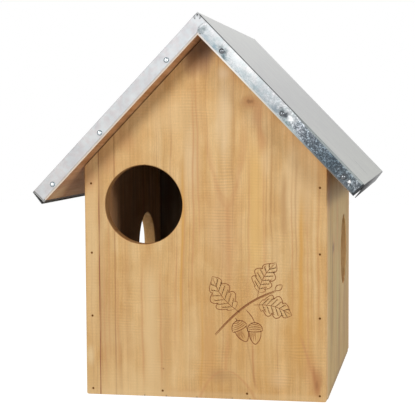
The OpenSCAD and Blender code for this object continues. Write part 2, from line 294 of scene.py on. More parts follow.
class Effect(Tree):
    """One shared effect while its node group is being built."""

    def __init__(self, name: str, inputs: str, outputs: str) -> None:
        """Starts the group. A socket named Place is a vector, and any other is a number.

        Args:
            name: The name of the group.
            inputs: The names of its inputs, with spaces between them.
            outputs: The names of its outputs, with spaces between them.
        """
        group = bpy.data.node_groups.new(name, "ShaderNodeTree")
        for in_out, names in (("INPUT", inputs), ("OUTPUT", outputs)):
            for socket in names.split():
                kind = "NodeSocketVector" if socket == "Place" else "NodeSocketFloat"
                group.interface.new_socket(name=socket, in_out=in_out, socket_type=kind)
        super().__init__(group)
        sockets = self.add("NodeGroupInput").outputs
        self.given = [Value(self, sockets[socket]) for socket in inputs.split()]
        self.result = self.add("NodeGroupOutput").inputs

    def put(self, **sources: Source) -> Group:
        """Finishes the group.

        Args:
            sources: What its outputs are fed with, by name.

        Returns:
            The group.
        """
        for name, source in sources.items():
            self.feed(self.result[name], source)
        return self.tree


class Effects:
    """The effects that several finishes share, each a node group that is built once."""

    def __init__(self) -> None:
        """Builds every group."""
        self.grain = self._grain()
        self.wander = self._wander()
        self.oval = self._oval()
        self.vein = self._vein()
        self.knot = self._knot()
        self.arch = self._arch()
        self.joint = self._joint()
        self.spangle = self._spangle()
        self.slope = self._slope()

    @staticmethod
    def _grain() -> Group:
        """The inside of a softwood board, cut from a log whose heart lies behind its face.

        The growth rings are the fraction of the distance to the heart over the ring spacing,
        with the heart wandering slowly along the board, and the distance growing by the taper
        for each millimetre of height. The fibres are noise drawn out along
        the grain, and so are the broad streaks, the bands and the sparse thin lines.

        Returns:
            The group.
        """
        tree = Effect("softwood_grain", "Place Seed Heart_X Heart_Y Spacing Taper",
                      "Rings Fibres Streaks Bands Lines")
        place, seed, heart_x, heart_y, spacing, taper = tree.given
        seeded = place + tree.joined(seed, 0.0, seed)
        wander = tree.noise(seeded * (0.02, 0.02, 0.005), detail=3) * 30.0 - 15.0
        x, y, z = tree.parts(place)
        reach = tree.length(x - heart_x + wander, y - heart_y) + z * taper
        turns = tree.step("FRACT", reach / spacing)
        drawn = {}
        for name, across, along, detail, low, high in (
                ("Fibres", 0.7, 0.018, 5, 0.3, 0.7), ("Streaks", 0.045, 0.003, 2, 0.36, 0.64),
                ("Bands", 0.17, 0.005, 3, 0.34, 0.66), ("Lines", 0.5, 0.0035, 1, 0.60, 0.72)):
            noise = tree.noise(seeded * (across, across, along), detail=detail, roughness=0.6)
            drawn[name] = tree.ease(noise, low, high)
        return tree.put(Rings=tree.ease(turns, 0.1, 0.9) * tree.ease(turns, 1.0, 0.92), **drawn)

    @staticmethod
    def _wander() -> Group:
        """A place pushed sideways by slow noise, so that what runs along the grain wanders.

        Returns:
            The group.
        """
        tree = Effect("grain_wander", "Place Reach", "Place")
        place, reach = tree.given
        push = (tree.noise(place * (0.012, 0.012, 0.014), detail=3) - 0.5) * reach
        return tree.put(Place=place + tree.joined(push, 0.0, 0.0))

    @staticmethod
    def _oval() -> Group:
        """A soft oval with a ragged edge, from the distance over its half sizes.

        Returns:
            The group.
        """
        tree = Effect("soft_oval", "Place X Z Width Height Ragged", "Mask")
        place, mid_x, mid_z, width, height, ragged = tree.given
        x, _, z = tree.parts(place)
        away = tree.length((x - mid_x) / width, (z - mid_z) / height)
        rough = (tree.noise(place * (0.09, 0.09, 0.02), detail=4) - 0.5) * ragged
        return tree.put(Mask=tree.ease(away + rough, 1.0, 0.1))

    @staticmethod
    def _vein() -> Group:
        """A soft line along the grain, which fades out at both ends.

        Across the line the mask is e to the power of minus the square of the distance from it
        over the half width. The line leans sideways by a share of its height.

        Returns:
            The group.
        """
        tree = Effect("vein", "Place X Z Width Height Lean", "Mask")
        place, mid_x, mid_z, width, height, lean = tree.given
        x, _, z = tree.parts(place)
        up = z - mid_z
        off = (x - (up * lean + mid_x)) / width
        line = tree.step("EXPONENT", off * off * -1.0)
        return tree.put(Mask=line * tree.ease(abs(up / height), 1.0, 0.4))

    @staticmethod
    def _knot() -> Group:
        """A knot: an oval with a ragged rim, a halo round it, and a push on the grain beside it.

        The distance is that from the centre over the oval's half width and half height. The
        push moves the grain outwards, and dies away as e to the power of minus 0.22 times the
        square of that distance.

        Returns:
            The group.
        """
        tree = Effect("knot", "Place X Z Width Height", "Core Halo Push")
        place, mid_x, mid_z, width, height = tree.given
        x, _, z = tree.parts(place)
        off = x - mid_x
        away = tree.length(off / width, (z - mid_z) / height)
        ragged = tree.noise(place * (0.35, 0.35, 0.16), detail=3)
        rough = ragged * 1.2 + away - 0.6
        fading = tree.step("EXPONENT", away * away * -0.22)
        return tree.put(Core=tree.ease(rough, 1.0, 0.35), Halo=tree.ease(rough, 3.0, 0.6),
                        Push=off * fading * -0.8)

    @staticmethod
    def _arch() -> Group:
        """One growth ring that comes to the face as an arch.

        The line lies where the distance from the middle of the arch is the square root of the
        height over its tip divided by the steepness. A steepness below 0 turns it over.

        Returns:
            The group.
        """
        tree = Effect("growth_arch", "Place X Z Lean Steepness Reach Line", "Line Inside")
        place, tip_x, tip_z, lean, steepness, reach, width = tree.given
        wobble = tree.noise(place * (0.03, 0.03, 0.02), detail=3) * 6.0 - 3.0
        x, _, z = tree.parts(place)
        up = z - tip_z
        from_middle = abs(x + wobble - (up * lean + tip_x))
        gap = from_middle - tree.step("SQRT", tree.step("MAXIMUM", up / steepness, 0.0))
        fading = tree.ease(abs(up) / reach, 1.0, 0.35)
        return tree.put(Line=tree.ease(abs(gap) / width, 1.0, 0.0) * fading,
                        Inside=tree.ease(gap, 1.0, -6.0) * fading)

    @staticmethod
    def _joint() -> Group:
        """A glued joint between two staves: a thin upright line, broken by slow noise.

        Returns:
            The group.
        """
        tree = Effect("stave_joint", "Place X Width", "Line")
        place, middle, width = tree.given
        x, _, z = tree.parts(place)
        drift = tree.noise(tree.joined(middle, 0.0, z * 0.02), detail=2) * 0.8 - 0.4
        broken = tree.noise(tree.joined(middle, 5.0, z * 0.02), detail=3)
        near = tree.ease(abs(x + drift - middle) / width, 1.0, 0.2)
        return tree.put(Line=near * tree.ease(broken, 0.34, 0.6, 0.50, 1.0))

    @staticmethod
    def _spangle() -> Group:
        """The crystals of hot-dip zinc: random cells of two sizes, and soft clouds of tarnish.

        Returns:
            The group.
        """
        tree = Effect("zinc_spangle", "Place", "Crystals Clouds Mottle")
        place = tree.given[0]
        shifted = place + tree.noise(place, 0.7)
        clouds = tree.noise(place, 0.05, detail=4, roughness=0.6)
        mottle = tree.noise(place, 0.17, detail=3)
        crystals = tree.cells(shifted, 0.38) * 0.35 + tree.cells(shifted, 1.10) * 0.65
        return tree.put(Crystals=crystals, Clouds=tree.ease(clouds, 0.3, 0.7),
                        Mottle=tree.ease(mottle, 0.34, 0.66))

    @staticmethod
    def _slope() -> Group:
        """A place on the roof as its way down the slope, and its depth under the top face.

        With x the distance from the ridge and h the drop from the top, the way down is x times
        the cosine of the pitch plus h times its sine, and the depth is h times the cosine less
        x times the sine.

        Returns:
            The group.
        """
        tree = Effect("roof_place", "Place Top", "Down Under")
        place, top = tree.given
        x, _, z = tree.parts(place)
        x, drop = abs(x), top - z
        cosine, sine = math.cos(PITCH), math.sin(PITCH)
        return tree.put(Down=x * cosine + drop * sine, Under=drop * cosine - x * sine)


class Finish(Tree):
    """A finish in progress: a material with its node tree and its surface shader."""

    def __init__(self, name: str, effects: Effects) -> None:
        """Starts a material.

        Args:
            name: Its name.
            effects: The shared effects.
        """
        self.material = bpy.data.materials.new(name)
        self.material.use_nodes = True
        super().__init__(self.material.node_tree)
        self.effects = effects
        self.shader = self.add("ShaderNodeBsdfPrincipled")
        self.end("ShaderNodeOutputMaterial", Value(self, self.shader.outputs[0]))
        local = self.add("ShaderNodeTexCoord").outputs["Object"]
        self.place = Value(self, local) * (1 / MM)

    def done(self, height: Value, depth_mm: float, **inputs: Source) -> Material:
        """Feeds the shader, and raises the surface by a height times a depth.

        Args:
            height: The height, from 0 to 1.
            depth_mm: The depth.
            inputs: The shader's inputs, whose names have _ in place of spaces.

        Returns:
            The material.
        """
        bump = self.add("ShaderNodeBump")
        for name, source in (("Height", height), ("Strength", 1.0), ("Distance", depth_mm * MM)):
            self.feed(bump.inputs[name], source)
        self.feed(self.shader.inputs["Normal"], Value(self, bump.outputs[0]))
        for name, source in inputs.items():
            self.feed(self.shader.inputs[name.replace("_", " ")], source)
        return self.material


KNOT_RIM = (0.36, 0.185, 0.070)
KNOT_HALO = (0.49, 0.250, 0.095)
KNOT_CORE = (0.24, 0.105, 0.040)
GLUE_LINE = (0.27, 0.092, 0.040)
THIN_LINE = (0.37, 0.165, 0.060)
KHAKI = (0.47, 0.272, 0.102)
REDDISH = (0.53, 0.260, 0.105)
DEEP_RED = (0.36, 0.130, 0.045)
ORANGE = (0.60, 0.320, 0.085)
GOLDEN = (0.69, 0.430, 0.150)
PALE = (0.70, 0.490, 0.250)
BROWN = (0.44, 0.240, 0.095)
PINKISH = (0.60, 0.370, 0.190)
UMBER = (0.15, 0.080, 0.045)


@dataclass(frozen=True)
class Mark:
    """A mark on a board: its middle, and its half sizes across and along the grain."""

    x_mm: float
    z_mm: float
    width_mm: float
    height_mm: float

    @classmethod
    def each(cls, *rows: tuple[Any, ...]) -> tuple[Any, ...]:
        """Marks of this kind, each from a row of its fields."""
        return tuple(cls(*row) for row in rows)

    def drawn(self, tree: Tree, group: Group, place: Value, **more: float) -> dict[str, Value]:
        """The outputs of the effect that draws this mark."""
        return tree.use(group, Place=place, X=self.x_mm, Z=self.z_mm, Width=self.width_mm,
                        Height=self.height_mm, **more)


@dataclass(frozen=True)
class Knot(Mark):
    """A knot, with how strong its core and its halo are."""

    core: float = 0.7
    halo: float = 0.5


@dataclass(frozen=True)
class Ripple(Mark):
    """A soft oval in which the planer left cross ripples, and how strong they are there."""

    share: float
    ragged: float = 1.4

    def mask(self, finish: Finish, place: Value) -> Value:
        """How strong the ripples are."""
        oval = self.drawn(finish, finish.effects.oval, place, Ragged=self.ragged)
        return oval["Mask"] * self.share


@dataclass(frozen=True)
class Patch(Mark):
    """A soft oval of another colour."""

    colour: Colour
    share: float
    ragged: float = 0.9

    def mask(self, finish: Finish, place: Value) -> Value:
        """How much of its colour there is."""
        oval = self.drawn(finish, finish.effects.oval, place, Ragged=self.ragged)
        return oval["Mask"] * self.share


@dataclass(frozen=True)
class Vein(Mark):
    """A soft line along the grain, which leans sideways by a share of its height."""

    colour: Colour
    share: float
    lean: float = 0.0

    def mask(self, finish: Finish, place: Value) -> Value:
        """How much of its colour there is."""
        vein = self.drawn(finish, finish.effects.vein, place, Lean=self.lean)
        return vein["Mask"] * self.share


@dataclass(frozen=True)
class Arch:
    """A growth ring that shows as an arch, by its tip."""

    x_mm: float
    z_mm: float
    steepness: float
    reach_mm: float
    line_mm: float
    strength: float
    inside: float = 0.0
    lean: float = 0.0
    colour: Colour = KNOT_RIM


@dataclass(frozen=True)
class Bore:
    """The sawn edge of a round entrance, and what the wood's colour is multiplied by there as
    painted light and shade.
    """

    x_mm: float
    z_mm: float
    radius_mm: float
    tint: Colour


def laid(finish: Finish, place: Value, colour: Value, marks: Sequence[Patch | Vein]) -> Value:
    """Lays marks on a colour, one after the other.

    Args:
        finish: The finish that is being built.
        place: The place that the marks are given for.
        colour: The colour under them.
        marks: The marks.

    Returns:
        The colour with the marks.
    """
    for mark in marks:
        colour = finish.mix(mark.mask(finish, place), colour, mark.colour)
    return colour


@dataclass(frozen=True)
class WoodFinish:
    """Planed softwood. Places on it are across and along the grain, seen from the outside."""

    name: str
    along: Along
    light: Colour = (0.655, 0.425, 0.190)
    late: Colour = (0.560, 0.335, 0.135)
    warm: Colour = (0.600, 0.345, 0.125)
    dark_band: Colour = (0.945, 0.915, 0.860)
    pale_band: Colour = (1.045, 1.060, 1.090)
    seed: float = 0.0
    heart_x_mm: float = 20.0
    heart_y_mm: float = 90.0
    spacing_mm: float = 7.0
    taper: float = 0.05
    rings: float = 0.30
    lines: float = 0.30
    fibres: tuple[float, float] = (0.94, 1.04)
    bent_mm: float = 7.0
    bump_mm: float = 0.05
    ripple_mm: float = 3.0
    joint_mm: float = 1.05
    joints_mm: tuple[float, ...] = ()
    joint_shares: tuple[float, ...] = ()
    tones: tuple[float, ...] = (1.0,)
    knots: tuple[Knot, ...] = ()
    arches: tuple[Arch, ...] = ()
    patches: tuple[Patch, ...] = ()
    veins: tuple[Vein, ...] = ()
    ripples: tuple[Ripple, ...] = ()
    bores: tuple[Bore, ...] = ()
    # The half width and half depth of the room inside, and the height of its floor
    inside_mm: tuple[float, float, float] = (111.4, 136.4, 13.6)
    # What the faces inside are multiplied by: painted shade, darker than the wood outside
    inside_tint: Colour = (0.34, 0.385, 0.60)
    roughness: float = 0.62
    specular: float = 0.3

    def build(self, effects: Effects) -> Material:
        """Builds the finish.

        Args:
            effects: The shared effects.

        Returns:
            The material.
        """
        finish = Finish(self.name, effects)
        axes = finish.parts(finish.place)
        place = finish.joined(*(axes[axis] for axis in self.along.value))
        bent = finish.use(effects.wander, Place=place, Reach=self.bent_mm)["Place"]
        knots = [knot.drawn(finish, effects.knot, place) for knot in self.knots]
        for knot in knots:
            bent = bent + knot["Push"] * (1.0, 0.0, 0.0)
        grain = finish.use(effects.grain, Place=self.staved(finish, bent), Seed=self.seed,
                           Heart_X=self.heart_x_mm, Heart_Y=self.heart_y_mm,
                           Spacing=self.spacing_mm, Taper=self.taper)
        colour = self.plain_wood(finish, place, grain)
        colour = laid(finish, place, colour, self.patches)
        colour = laid(finish, bent, colour, self.veins)
        for arch in self.arches:
            mark = finish.use(effects.arch, Place=bent, X=arch.x_mm, Z=arch.z_mm, Lean=arch.lean,
                              Steepness=arch.steepness, Reach=arch.reach_mm, Line=arch.line_mm)
            colour = finish.mix(mark["Inside"] * arch.inside, colour, KHAKI)
            colour = finish.mix(mark["Line"] * arch.strength, colour, arch.colour)
        for knot, mark in zip(self.knots, knots):
            colour = finish.mix(mark["Halo"] * knot.halo, colour, KNOT_HALO)
            colour = finish.mix(mark["Core"] * knot.core, colour, KNOT_CORE)
        height = grain["Rings"] * 0.5 + grain["Fibres"]
        for joint, share in zip(self.joints_mm, self.joint_shares):
            line = finish.use(effects.joint, Place=place, X=joint, Width=self.joint_mm)["Line"]
            colour = finish.mix(line * share, colour, GLUE_LINE)
            height = height - line
        if self.ripples:
            colour = colour * self.ripple_factor(finish, place)
        x, _, z = finish.parts(place)
        # The tints of the bores are painted light and shade on their sawn edges
        for bore in self.bores:
            away = finish.length(x - bore.x_mm, z - bore.z_mm)
            edge = bore.radius_mm + 0.1
            within = finish.ease(away, edge + 0.5, edge)
            colour = finish.shaded(colour, within, 1.0, bore.tint)
        colour = self.with_edges(finish, self.with_inside(finish, colour))
        return finish.done(height, self.bump_mm, Base_Color=colour, Roughness=self.roughness,
                           Specular_IOR_Level=self.specular)

    def staved(self, finish: Finish, place: Value) -> Value:
        """Moves each stave to another part of the log, so that the grain stops at the joints.

        Args:
            finish: The finish that is being built.
            place: The place in the board.

        Returns:
            The place in the log.
        """
        x = finish.parts(place)[0]
        shift: Source = self.seed
        for number, joint in enumerate(self.joints_mm):
            step_mm = 61.0 + 23.0 * number
            shift = (x > joint) * step_mm + shift
        return place + finish.joined(0.0, shift * 0.15, shift)

    def plain_wood(self, finish: Finish, place: Value, grain: dict[str, Value]) -> Value:
        """The colour of the wood without its marks, with a tone of its own for each stave.

        Args:
            finish: The finish that is being built.
            place: The place in the board.
            grain: The outputs of the grain effect.

        Returns:
            The colour.
        """
        colour = finish.mix(grain["Rings"] * self.rings, self.light, self.late)
        colour = finish.mix(grain["Streaks"] * 0.5, colour, self.warm)
        colour = finish.shaded(colour, grain["Bands"], self.dark_band, self.pale_band)
        colour = finish.shaded(colour, grain["Fibres"], *self.fibres)
        colour = finish.mix(grain["Lines"] * self.lines, colour, THIN_LINE)
        for across, along, detail, low, dark, pale in (
                (0.032, 0.013, 4, 0.36, (0.975, 0.935, 0.870), (1.025, 1.060, 1.110)),
                (0.075, 0.055, 4, 0.38, (0.965, 0.940, 0.900), (1.022, 1.035, 1.055)),
                (0.9, 0.45, 3, 0.30, 0.955, 1.045)):
            clouds = finish.noise(place * (across, across, along), detail=detail)
            colour = finish.shaded(colour, finish.ease(clouds, low, 1.0 - low), dark, pale)
        x = finish.parts(place)[0]
        tone: Source = self.tones[0]
        for before, after, joint in zip(self.tones, self.tones[1:], self.joints_mm):
            tone = (x > joint) * (after - before) + tone
        return colour * tone

    def ripple_factor(self, finish: Finish, place: Value) -> Value:
        """The faint cross ripples of a planer, strong in some places only.

        Args:
            finish: The finish that is being built.
            place: The place in the board.

        Returns:
            What the ripples multiply the colour by.
        """
        wander = finish.noise(place * (0.03, 0.03, 0.05), detail=1)
        turns = wander * 1.5 + finish.parts(place)[2] / self.ripple_mm
        where: Source = 0.35
        for ripple in self.ripples:
            where = ripple.mask(finish, place) + where
        patchy = finish.ease(finish.noise(place * (0.05, 0.05, 0.09)), 0.42, 0.60)
        return finish.step("SINE", turns * math.tau) * where * patchy * 0.052 + 1.0

    def with_inside(self, finish: Finish, colour: Value) -> Value:
        """Tints the faces inside the box: below 1 the tint is painted shade, and above 1 it is
        painted light.

        Args:
            finish: The finish that is being built.
            colour: The colour of the wood.

        Returns:
            The colour, tinted inside.
        """
        half_width, half_depth, bottom = self.inside_mm
        soft = 0.3
        x, y, z = finish.parts(finish.place)
        within = (finish.ease(abs(x), half_width, half_width - soft)
                  * finish.ease(abs(y), half_depth, half_depth - soft)
                  * finish.ease(z, bottom, bottom + soft))
        return finish.shaded(colour, within, 1.0, self.inside_tint)

    def with_edges(self, finish: Finish, colour: Value) -> Value:
        """Finishes the board's edges, which a plain board keeps as they are."""
        return colour


@dataclass(frozen=True)
class RoofWoodFinish(WoodFinish):
    """A roof board's wood: pale end grain at the front, and painted shade where the eave flange is.
    """

    node: str = ""
    end_grain: Stops = ((0.0, (0.66, 0.57, 0.475)), (1.0, (0.67, 0.585, 0.485)))
    end_grain_mm: float = 16.0
    shadowed: Colour = (0.040, 0.024, 0.012)
    shadowed_end: Colour = (0.030, 0.033, 0.036)
    dark_mm: float = 2.8

    def with_edges(self, finish: Finish, colour: Value) -> Value:
        """Pales the front end of the board, and darkens its end under the eave flange as painted
        shade.

        Args:
            finish: The finish that is being built.
            colour: The colour of the wood.

        Returns:
            The colour with the edges.
        """
        low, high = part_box(self.node)
        reach = max(-low.x, high.x) / MM / math.cos(PITCH)
        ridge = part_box("right_roof_board")[1].z / MM
        roof = finish.use(finish.effects.slope, Place=finish.place, Top=ridge)
        down = roof["Down"]
        front = finish.ease(finish.parts(finish.place)[1], low.y / MM + 0.5, low.y / MM + 0.1)
        pale = finish.ease(roof["Under"], self.end_grain_mm + 0.2, self.end_grain_mm - 0.2)
        colour = finish.mix(front * pale, colour, finish.ramp(down / reach, self.end_grain))
        eave_shade = finish.ease(down, reach - self.dark_mm - 0.4, reach - self.dark_mm)
        return finish.mix(eave_shade, colour, finish.mix(front, self.shadowed, self.shadowed_end))


@dataclass(frozen=True)
class ZincFinish:
    """Galvanised sheet: matt on the slopes, bright and spangled on the flanges."""

    name: str = "galvanised_sheet"
    # From the ridge to the eave: the slopes, paler by the ridge as painted light; both front
    # flanges, the right one dark by the eave as a painted reflection; and the painted reflection in
    # the fold above the right one
    slope: Stops = (
        (0, (0.62, 0.625, 0.615)), (0.5, (0.49, 0.49, 0.49)), (1, (0.455, 0.46, 0.44)))
    left_flange: Stops = (
        (0, (0.49, 0.495, 0.5)), (0.35, (0.45, 0.45, 0.45)), (1, (0.44, 0.435, 0.43)))
    right_flange: Stops = (
        (0, (0.5, 0.51, 0.515)), (0.09, (0.46, 0.475, 0.485)), (0.17, (0.45, 0.47, 0.475)),
        (0.25, (0.56, 0.57, 0.57)), (0.34, (0.52, 0.535, 0.535)), (0.42, (0.4, 0.42, 0.43)),
        (0.52, (0.395, 0.41, 0.42)), (0.585, (0.35, 0.37, 0.375)), (0.635, (0.172, 0.186, 0.202)),
        (0.72, (0.085, 0.102, 0.118)), (0.84, (0.04, 0.057, 0.071)), (1, (0.105, 0.12, 0.13)))
    fold_reflection: Stops = (
        (0, (0.06, 0.062, 0.062)), (0.55, (0.055, 0.057, 0.057)), (0.68, (0.23, 0.255, 0.25)),
        (1, (0.28, 0.305, 0.3)))
    crystals: Stops = (
        (0.2, (0.42, 0.44, 0.47)), (0.42, (0.74, 0.76, 0.79)), (0.6, (1.15, 1.15, 1.13)),
        (0.82, (3.1, 3.05, 3)))
    fleck: Colour = (0.22, 0.27, 0.285)
    # Painted shade of the eave flanges: darkest at the front end of each, paler towards the back
    eave_shade: Colour = (0.18, 0.18, 0.185)
    eave_front_shade: Colour = (0.030, 0.032, 0.035)
    left_eave_front_shade: Colour = (0.15, 0.155, 0.155)
    edge: Colour = (0.26, 0.265, 0.26)
    fold_reflection_share: float = 0.92
    edge_share: float = 0.6
    bump_mm: float = 0.12
    # How strong the crystals are, along the right flange
    speckled: Stops = ((0.0, grey(0.05)), (0.34, grey(0.04)), (0.45, grey(0.12)),
                       (0.58, grey(0.22)), (0.66, grey(1.0)), (1.0, grey(0.9)))
    # Dents, stains and spots of the right flange, by their way down it and their depth under the
    # top: the dark spots at the lap's end are painted shadow, those below the nails are partly
    # stain and partly painted shadow, and the white spots beside the nails are painted glints
    marks: tuple[Patch, ...] = Patch.each(
        (16.5, 7.5, 3.6, 6.4, (0.13, 0.16, 0.165), 0.85, 0.3),
        (14, 12, 3, 3.5, (0.08, 0.1, 0.1), 0.8, 0.3),
        (25, 12, 7, 3, (0.26, 0.32, 0.35), 0.65, 0.6),
        (17.2, 13, 1.8, 1.8, (0.03, 0.04, 0.04), 1, 0),
        (37, 12, 6.5, 3.5, (0.17, 0.25, 0.29), 0.85, 0.3),
        (41.5, 8, 3.5, 4, (0.12, 0.15, 0.16), 0.8, 0.3),
        (47, 8.6, 5, 5.4, (0.05, 0.07, 0.08), 0.92, 0.3),
        (50.5, 12.8, 5, 2.8, (0.07, 0.12, 0.14), 0.9, 0.3),
        (62, 5.5, 12, 4.5, (0.62, 0.64, 0.65), 0.7, 0.8),
        (94, 11, 8, 3.5, (0.2, 0.27, 0.29), 0.6, 0.9), (78, 9, 8, 3, (0.24, 0.3, 0.32), 0.45, 1.2),
        (123, 11.5, 7, 4, (0.18, 0.22, 0.25), 0.85, 0.3),
        (128, 8, 5, 4.5, (0.08, 0.1, 0.11), 0.85, 0.3),
        (134, 8.6, 5, 5.5, (0.035, 0.042, 0.05), 0.95, 0.3),
        (140.5, 7.5, 6, 4.2, (0.8, 0.82, 0.83), 1, 0.6),
        (141, 13, 9, 2.6, (0.13, 0.2, 0.2), 0.85, 0.3),
        (217, 9, 5.5, 5, (0.03, 0.035, 0.04), 0.8, 0.4),
        (223.4, 8.8, 2.6, 2.4, (0.95, 0.95, 0.95), 1, 0.5),
        (150, 13, 10, 2.6, (0.4, 0.46, 0.47), 0.6, 0.4))
    # Dark snipped spots of the left flange at the ridge
    notches: tuple[Patch, ...] = Patch.each(
        (5.6, 1.2, 2.4, 2, (0.02, 0.02, 0.02), 1, 0), (1.6, 1.6, 2.2, 2, (0.03, 0.03, 0.03), 1, 0),
        (52, 10, 9, 5, (0.42, 0.42, 0.45), 0.35, 0.4))
    # Scratches on the right slope, by their place along the ridge and their way down
    scratches: tuple[Vein, ...] = Vein.each(
        (-44.5, 218, 1.7, 14, (0.17, 0.175, 0.17), 0.9, -0.3),
        (-63, 206, 1.3, 11, (0.3, 0.31, 0.3), 0.6, -0.25),
        (-20, 190, 1.2, 9, (0.33, 0.34, 0.33), 0.5, -0.2))

    def build(self, effects: Effects) -> Material:
        """Builds the finish.

        Args:
            effects: The shared effects.

        Returns:
            The material.
        """
        finish = Finish(self.name, effects)
        low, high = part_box("zinc_cover")
        face, rear = low.y / MM, high.y / MM
        x, y, _ = finish.parts(finish.place)
        on = {**finish.use(effects.slope, Place=finish.place, Top=high.z / MM),
              **finish.use(effects.spangle, Place=finish.place)}
        share = on["Down"] / RIGHT_RUN_MM
        # The left flange laps over the right one, so that its face lies further out
        lapped = finish.ease(y, face + 0.25, face + 0.45)
        right_side = finish.ease(x, -0.5, 0.5)
        flange = finish.mix(right_side * lapped, self.left_colour(finish, on),
                            self.right_colour(finish, on))
        ends = finish.step("MAXIMUM", finish.ease(y, face + 1.7, face + 1.1),
                           finish.ease(y, rear - 1.7, rear - 1.1))
        colour = finish.mix(ends, self.slope_colour(finish, on), flange)
        width = finish.ease(share, 0.56, 0.68, 0.75, 2.0)
        # Painted reflection: the dark band of the rounded fold above the right flange
        fold_reflection = (finish.ease(y, face + 2.4, face + 2.0)
                * finish.ease(on["Under"] - width, 0.3, -0.2) * finish.ease(x, 1.5, 3.0))
        colour = finish.mix(fold_reflection * self.fold_reflection_share, colour, finish.ramp(share, self.fold_reflection))
        back_edge = finish.ease(y, rear - 2.6, rear - 1.8) * self.edge_share
        colour = finish.mix(back_edge, colour, self.edge)
        run = (x > 0.0) * (RIGHT_RUN_MM - LEFT_RUN_MM) + LEFT_RUN_MM
        eaves = finish.ease(on["Down"] - run, -0.3, 0.5)
        # Painted shade on the eave flanges, darkest at the front end
        eave_shade = finish.mix(right_side, self.left_eave_front_shade, self.eave_front_shade)
        colour = finish.mix(eaves, colour, finish.mix(finish.ease(y, face, 60.0), eave_shade, self.eave_shade))
        grime = eaves * finish.ease(y, 120.0, face)
        return finish.done(on["Clouds"], self.bump_mm, Base_Color=colour,
                           Roughness=grime * 0.40 + 0.55,
                           Metallic=(ends * -0.25 + 0.7) * (1.0 - grime))

    def slope_colour(self, finish: Finish, on: dict[str, Value]) -> Value:
        """The matt colour of the slopes, paler by the ridge as painted light, with faint runs and a
        few scratches down them.

        Args:
            finish: The finish that is being built.
            on: The place on the roof, and the outputs of the spangle effect.

        Returns:
            The colour.
        """
        x, y, _ = finish.parts(finish.place)
        place = finish.joined(y, 0.0, on["Down"])
        colour = finish.ramp(on["Down"] / RIGHT_RUN_MM, self.slope)
        for across, along, reach in ((0.35, 0.008, 0.030), (1.3, 0.03, 0.018)):
            runs = finish.noise(place * (across, 0.0, along), detail=3)
            colour = finish.shaded(colour, finish.ease(runs, 0.32, 0.68), 1.0 - reach, 1.0 + reach)
        colour = finish.shaded(colour, on["Clouds"], (0.965, 0.965, 0.97), (1.02, 1.025, 1.01))
        scratched = laid(finish, place, colour, self.scratches)
        return finish.mix(finish.ease(x, 0.0, 1.0), colour, scratched)

    def left_colour(self, finish: Finish, on: dict[str, Value]) -> Value:
        """The colour of the left front flange.

        Args:
            finish: The finish that is being built.
            on: The place on the roof, and the outputs of the spangle effect.

        Returns:
            The colour.
        """
        colour = finish.ramp(on["Down"] / LEFT_RUN_MM, self.left_flange)
        colour = finish.shaded(colour, on["Clouds"], (0.90, 0.91, 0.93), (1.06, 1.05, 1.05))
        colour = finish.shaded(colour, on["Mottle"], (0.975, 0.935, 0.940), (1.01, 1.05, 1.06))
        colour = finish.shaded(colour, on["Crystals"], 0.975, 1.025)
        return self.marked(finish, on, colour, self.notches)

    def right_colour(self, finish: Finish, on: dict[str, Value]) -> Value:
        """The colour of the right front flange: bright by the ridge, and dark by the eave as a
        painted reflection, with painted light along its edges.

        Args:
            finish: The finish that is being built.
            on: The place on the roof, and the outputs of the spangle effect.

        Returns:
            The colour.
        """
        under, place = on["Under"], finish.joined(on["Down"], 0.0, on["Under"])
        share = on["Down"] / RIGHT_RUN_MM
        colour = finish.ramp(share, self.right_flange)
        colour = finish.shaded(colour, on["Mottle"], (0.90, 0.95, 0.97), (1.06, 1.04, 1.05))
        bright = finish.ease(share, 0.64, 0.56)
        # Painted light: the top edge is paler, and the lower edge is darker in the bright part and
        # paler in the dark part
        for start, end, dark, pale in ((6.5, 2.0, (1.50, 1.48, 1.46), (1.17, 1.15, 1.14)),
                                       (7.5, 12.5, 1.14, (0.84, 0.87, 0.885))):
            colour = finish.mix(finish.ease(under, start, end), colour,
                                finish.shaded(colour, bright, dark, pale))
        strength = finish.parts(finish.ramp(share, self.speckled))[0]
        crystals = finish.ramp(on["Crystals"], self.crystals)
        colour = colour * finish.mix(strength, 1.0, crystals)
        flecks = finish.ease(finish.noise(place * (0.30, 0.0, 0.75), detail=4), 0.50, 0.60)
        colour = finish.mix(flecks * bright * finish.ease(under, 2.0, 11.0, 0.0, 0.55), colour,
                            self.fleck)
        fine = finish.noise(place * (1.1, 0.0, 0.35), detail=3)
        colour = finish.shaded(colour, finish.ease(fine, 0.35, 0.65), 0.93, 1.07)
        return self.marked(finish, on, colour, self.marks)

    @staticmethod
    def marked(finish: Finish, on: dict[str, Value], colour: Value,
               marks: Sequence[Patch]) -> Value:
        """Lays dents, stains, painted shadows and painted glints on a flange, with jagged edges.

        Args:
            finish: The finish that is being built.
            on: The place on the roof.
            colour: The colour of the flange.
            marks: The spots.

        Returns:
            The colour with the spots.
        """
        place = finish.joined(on["Down"], 0.0, on["Under"])
        jag = finish.noise(place, 0.40, detail=4) * 8.0 - 4.0
        return laid(finish, place + jag * (1.0, 0.0, 1.0), colour, marks)


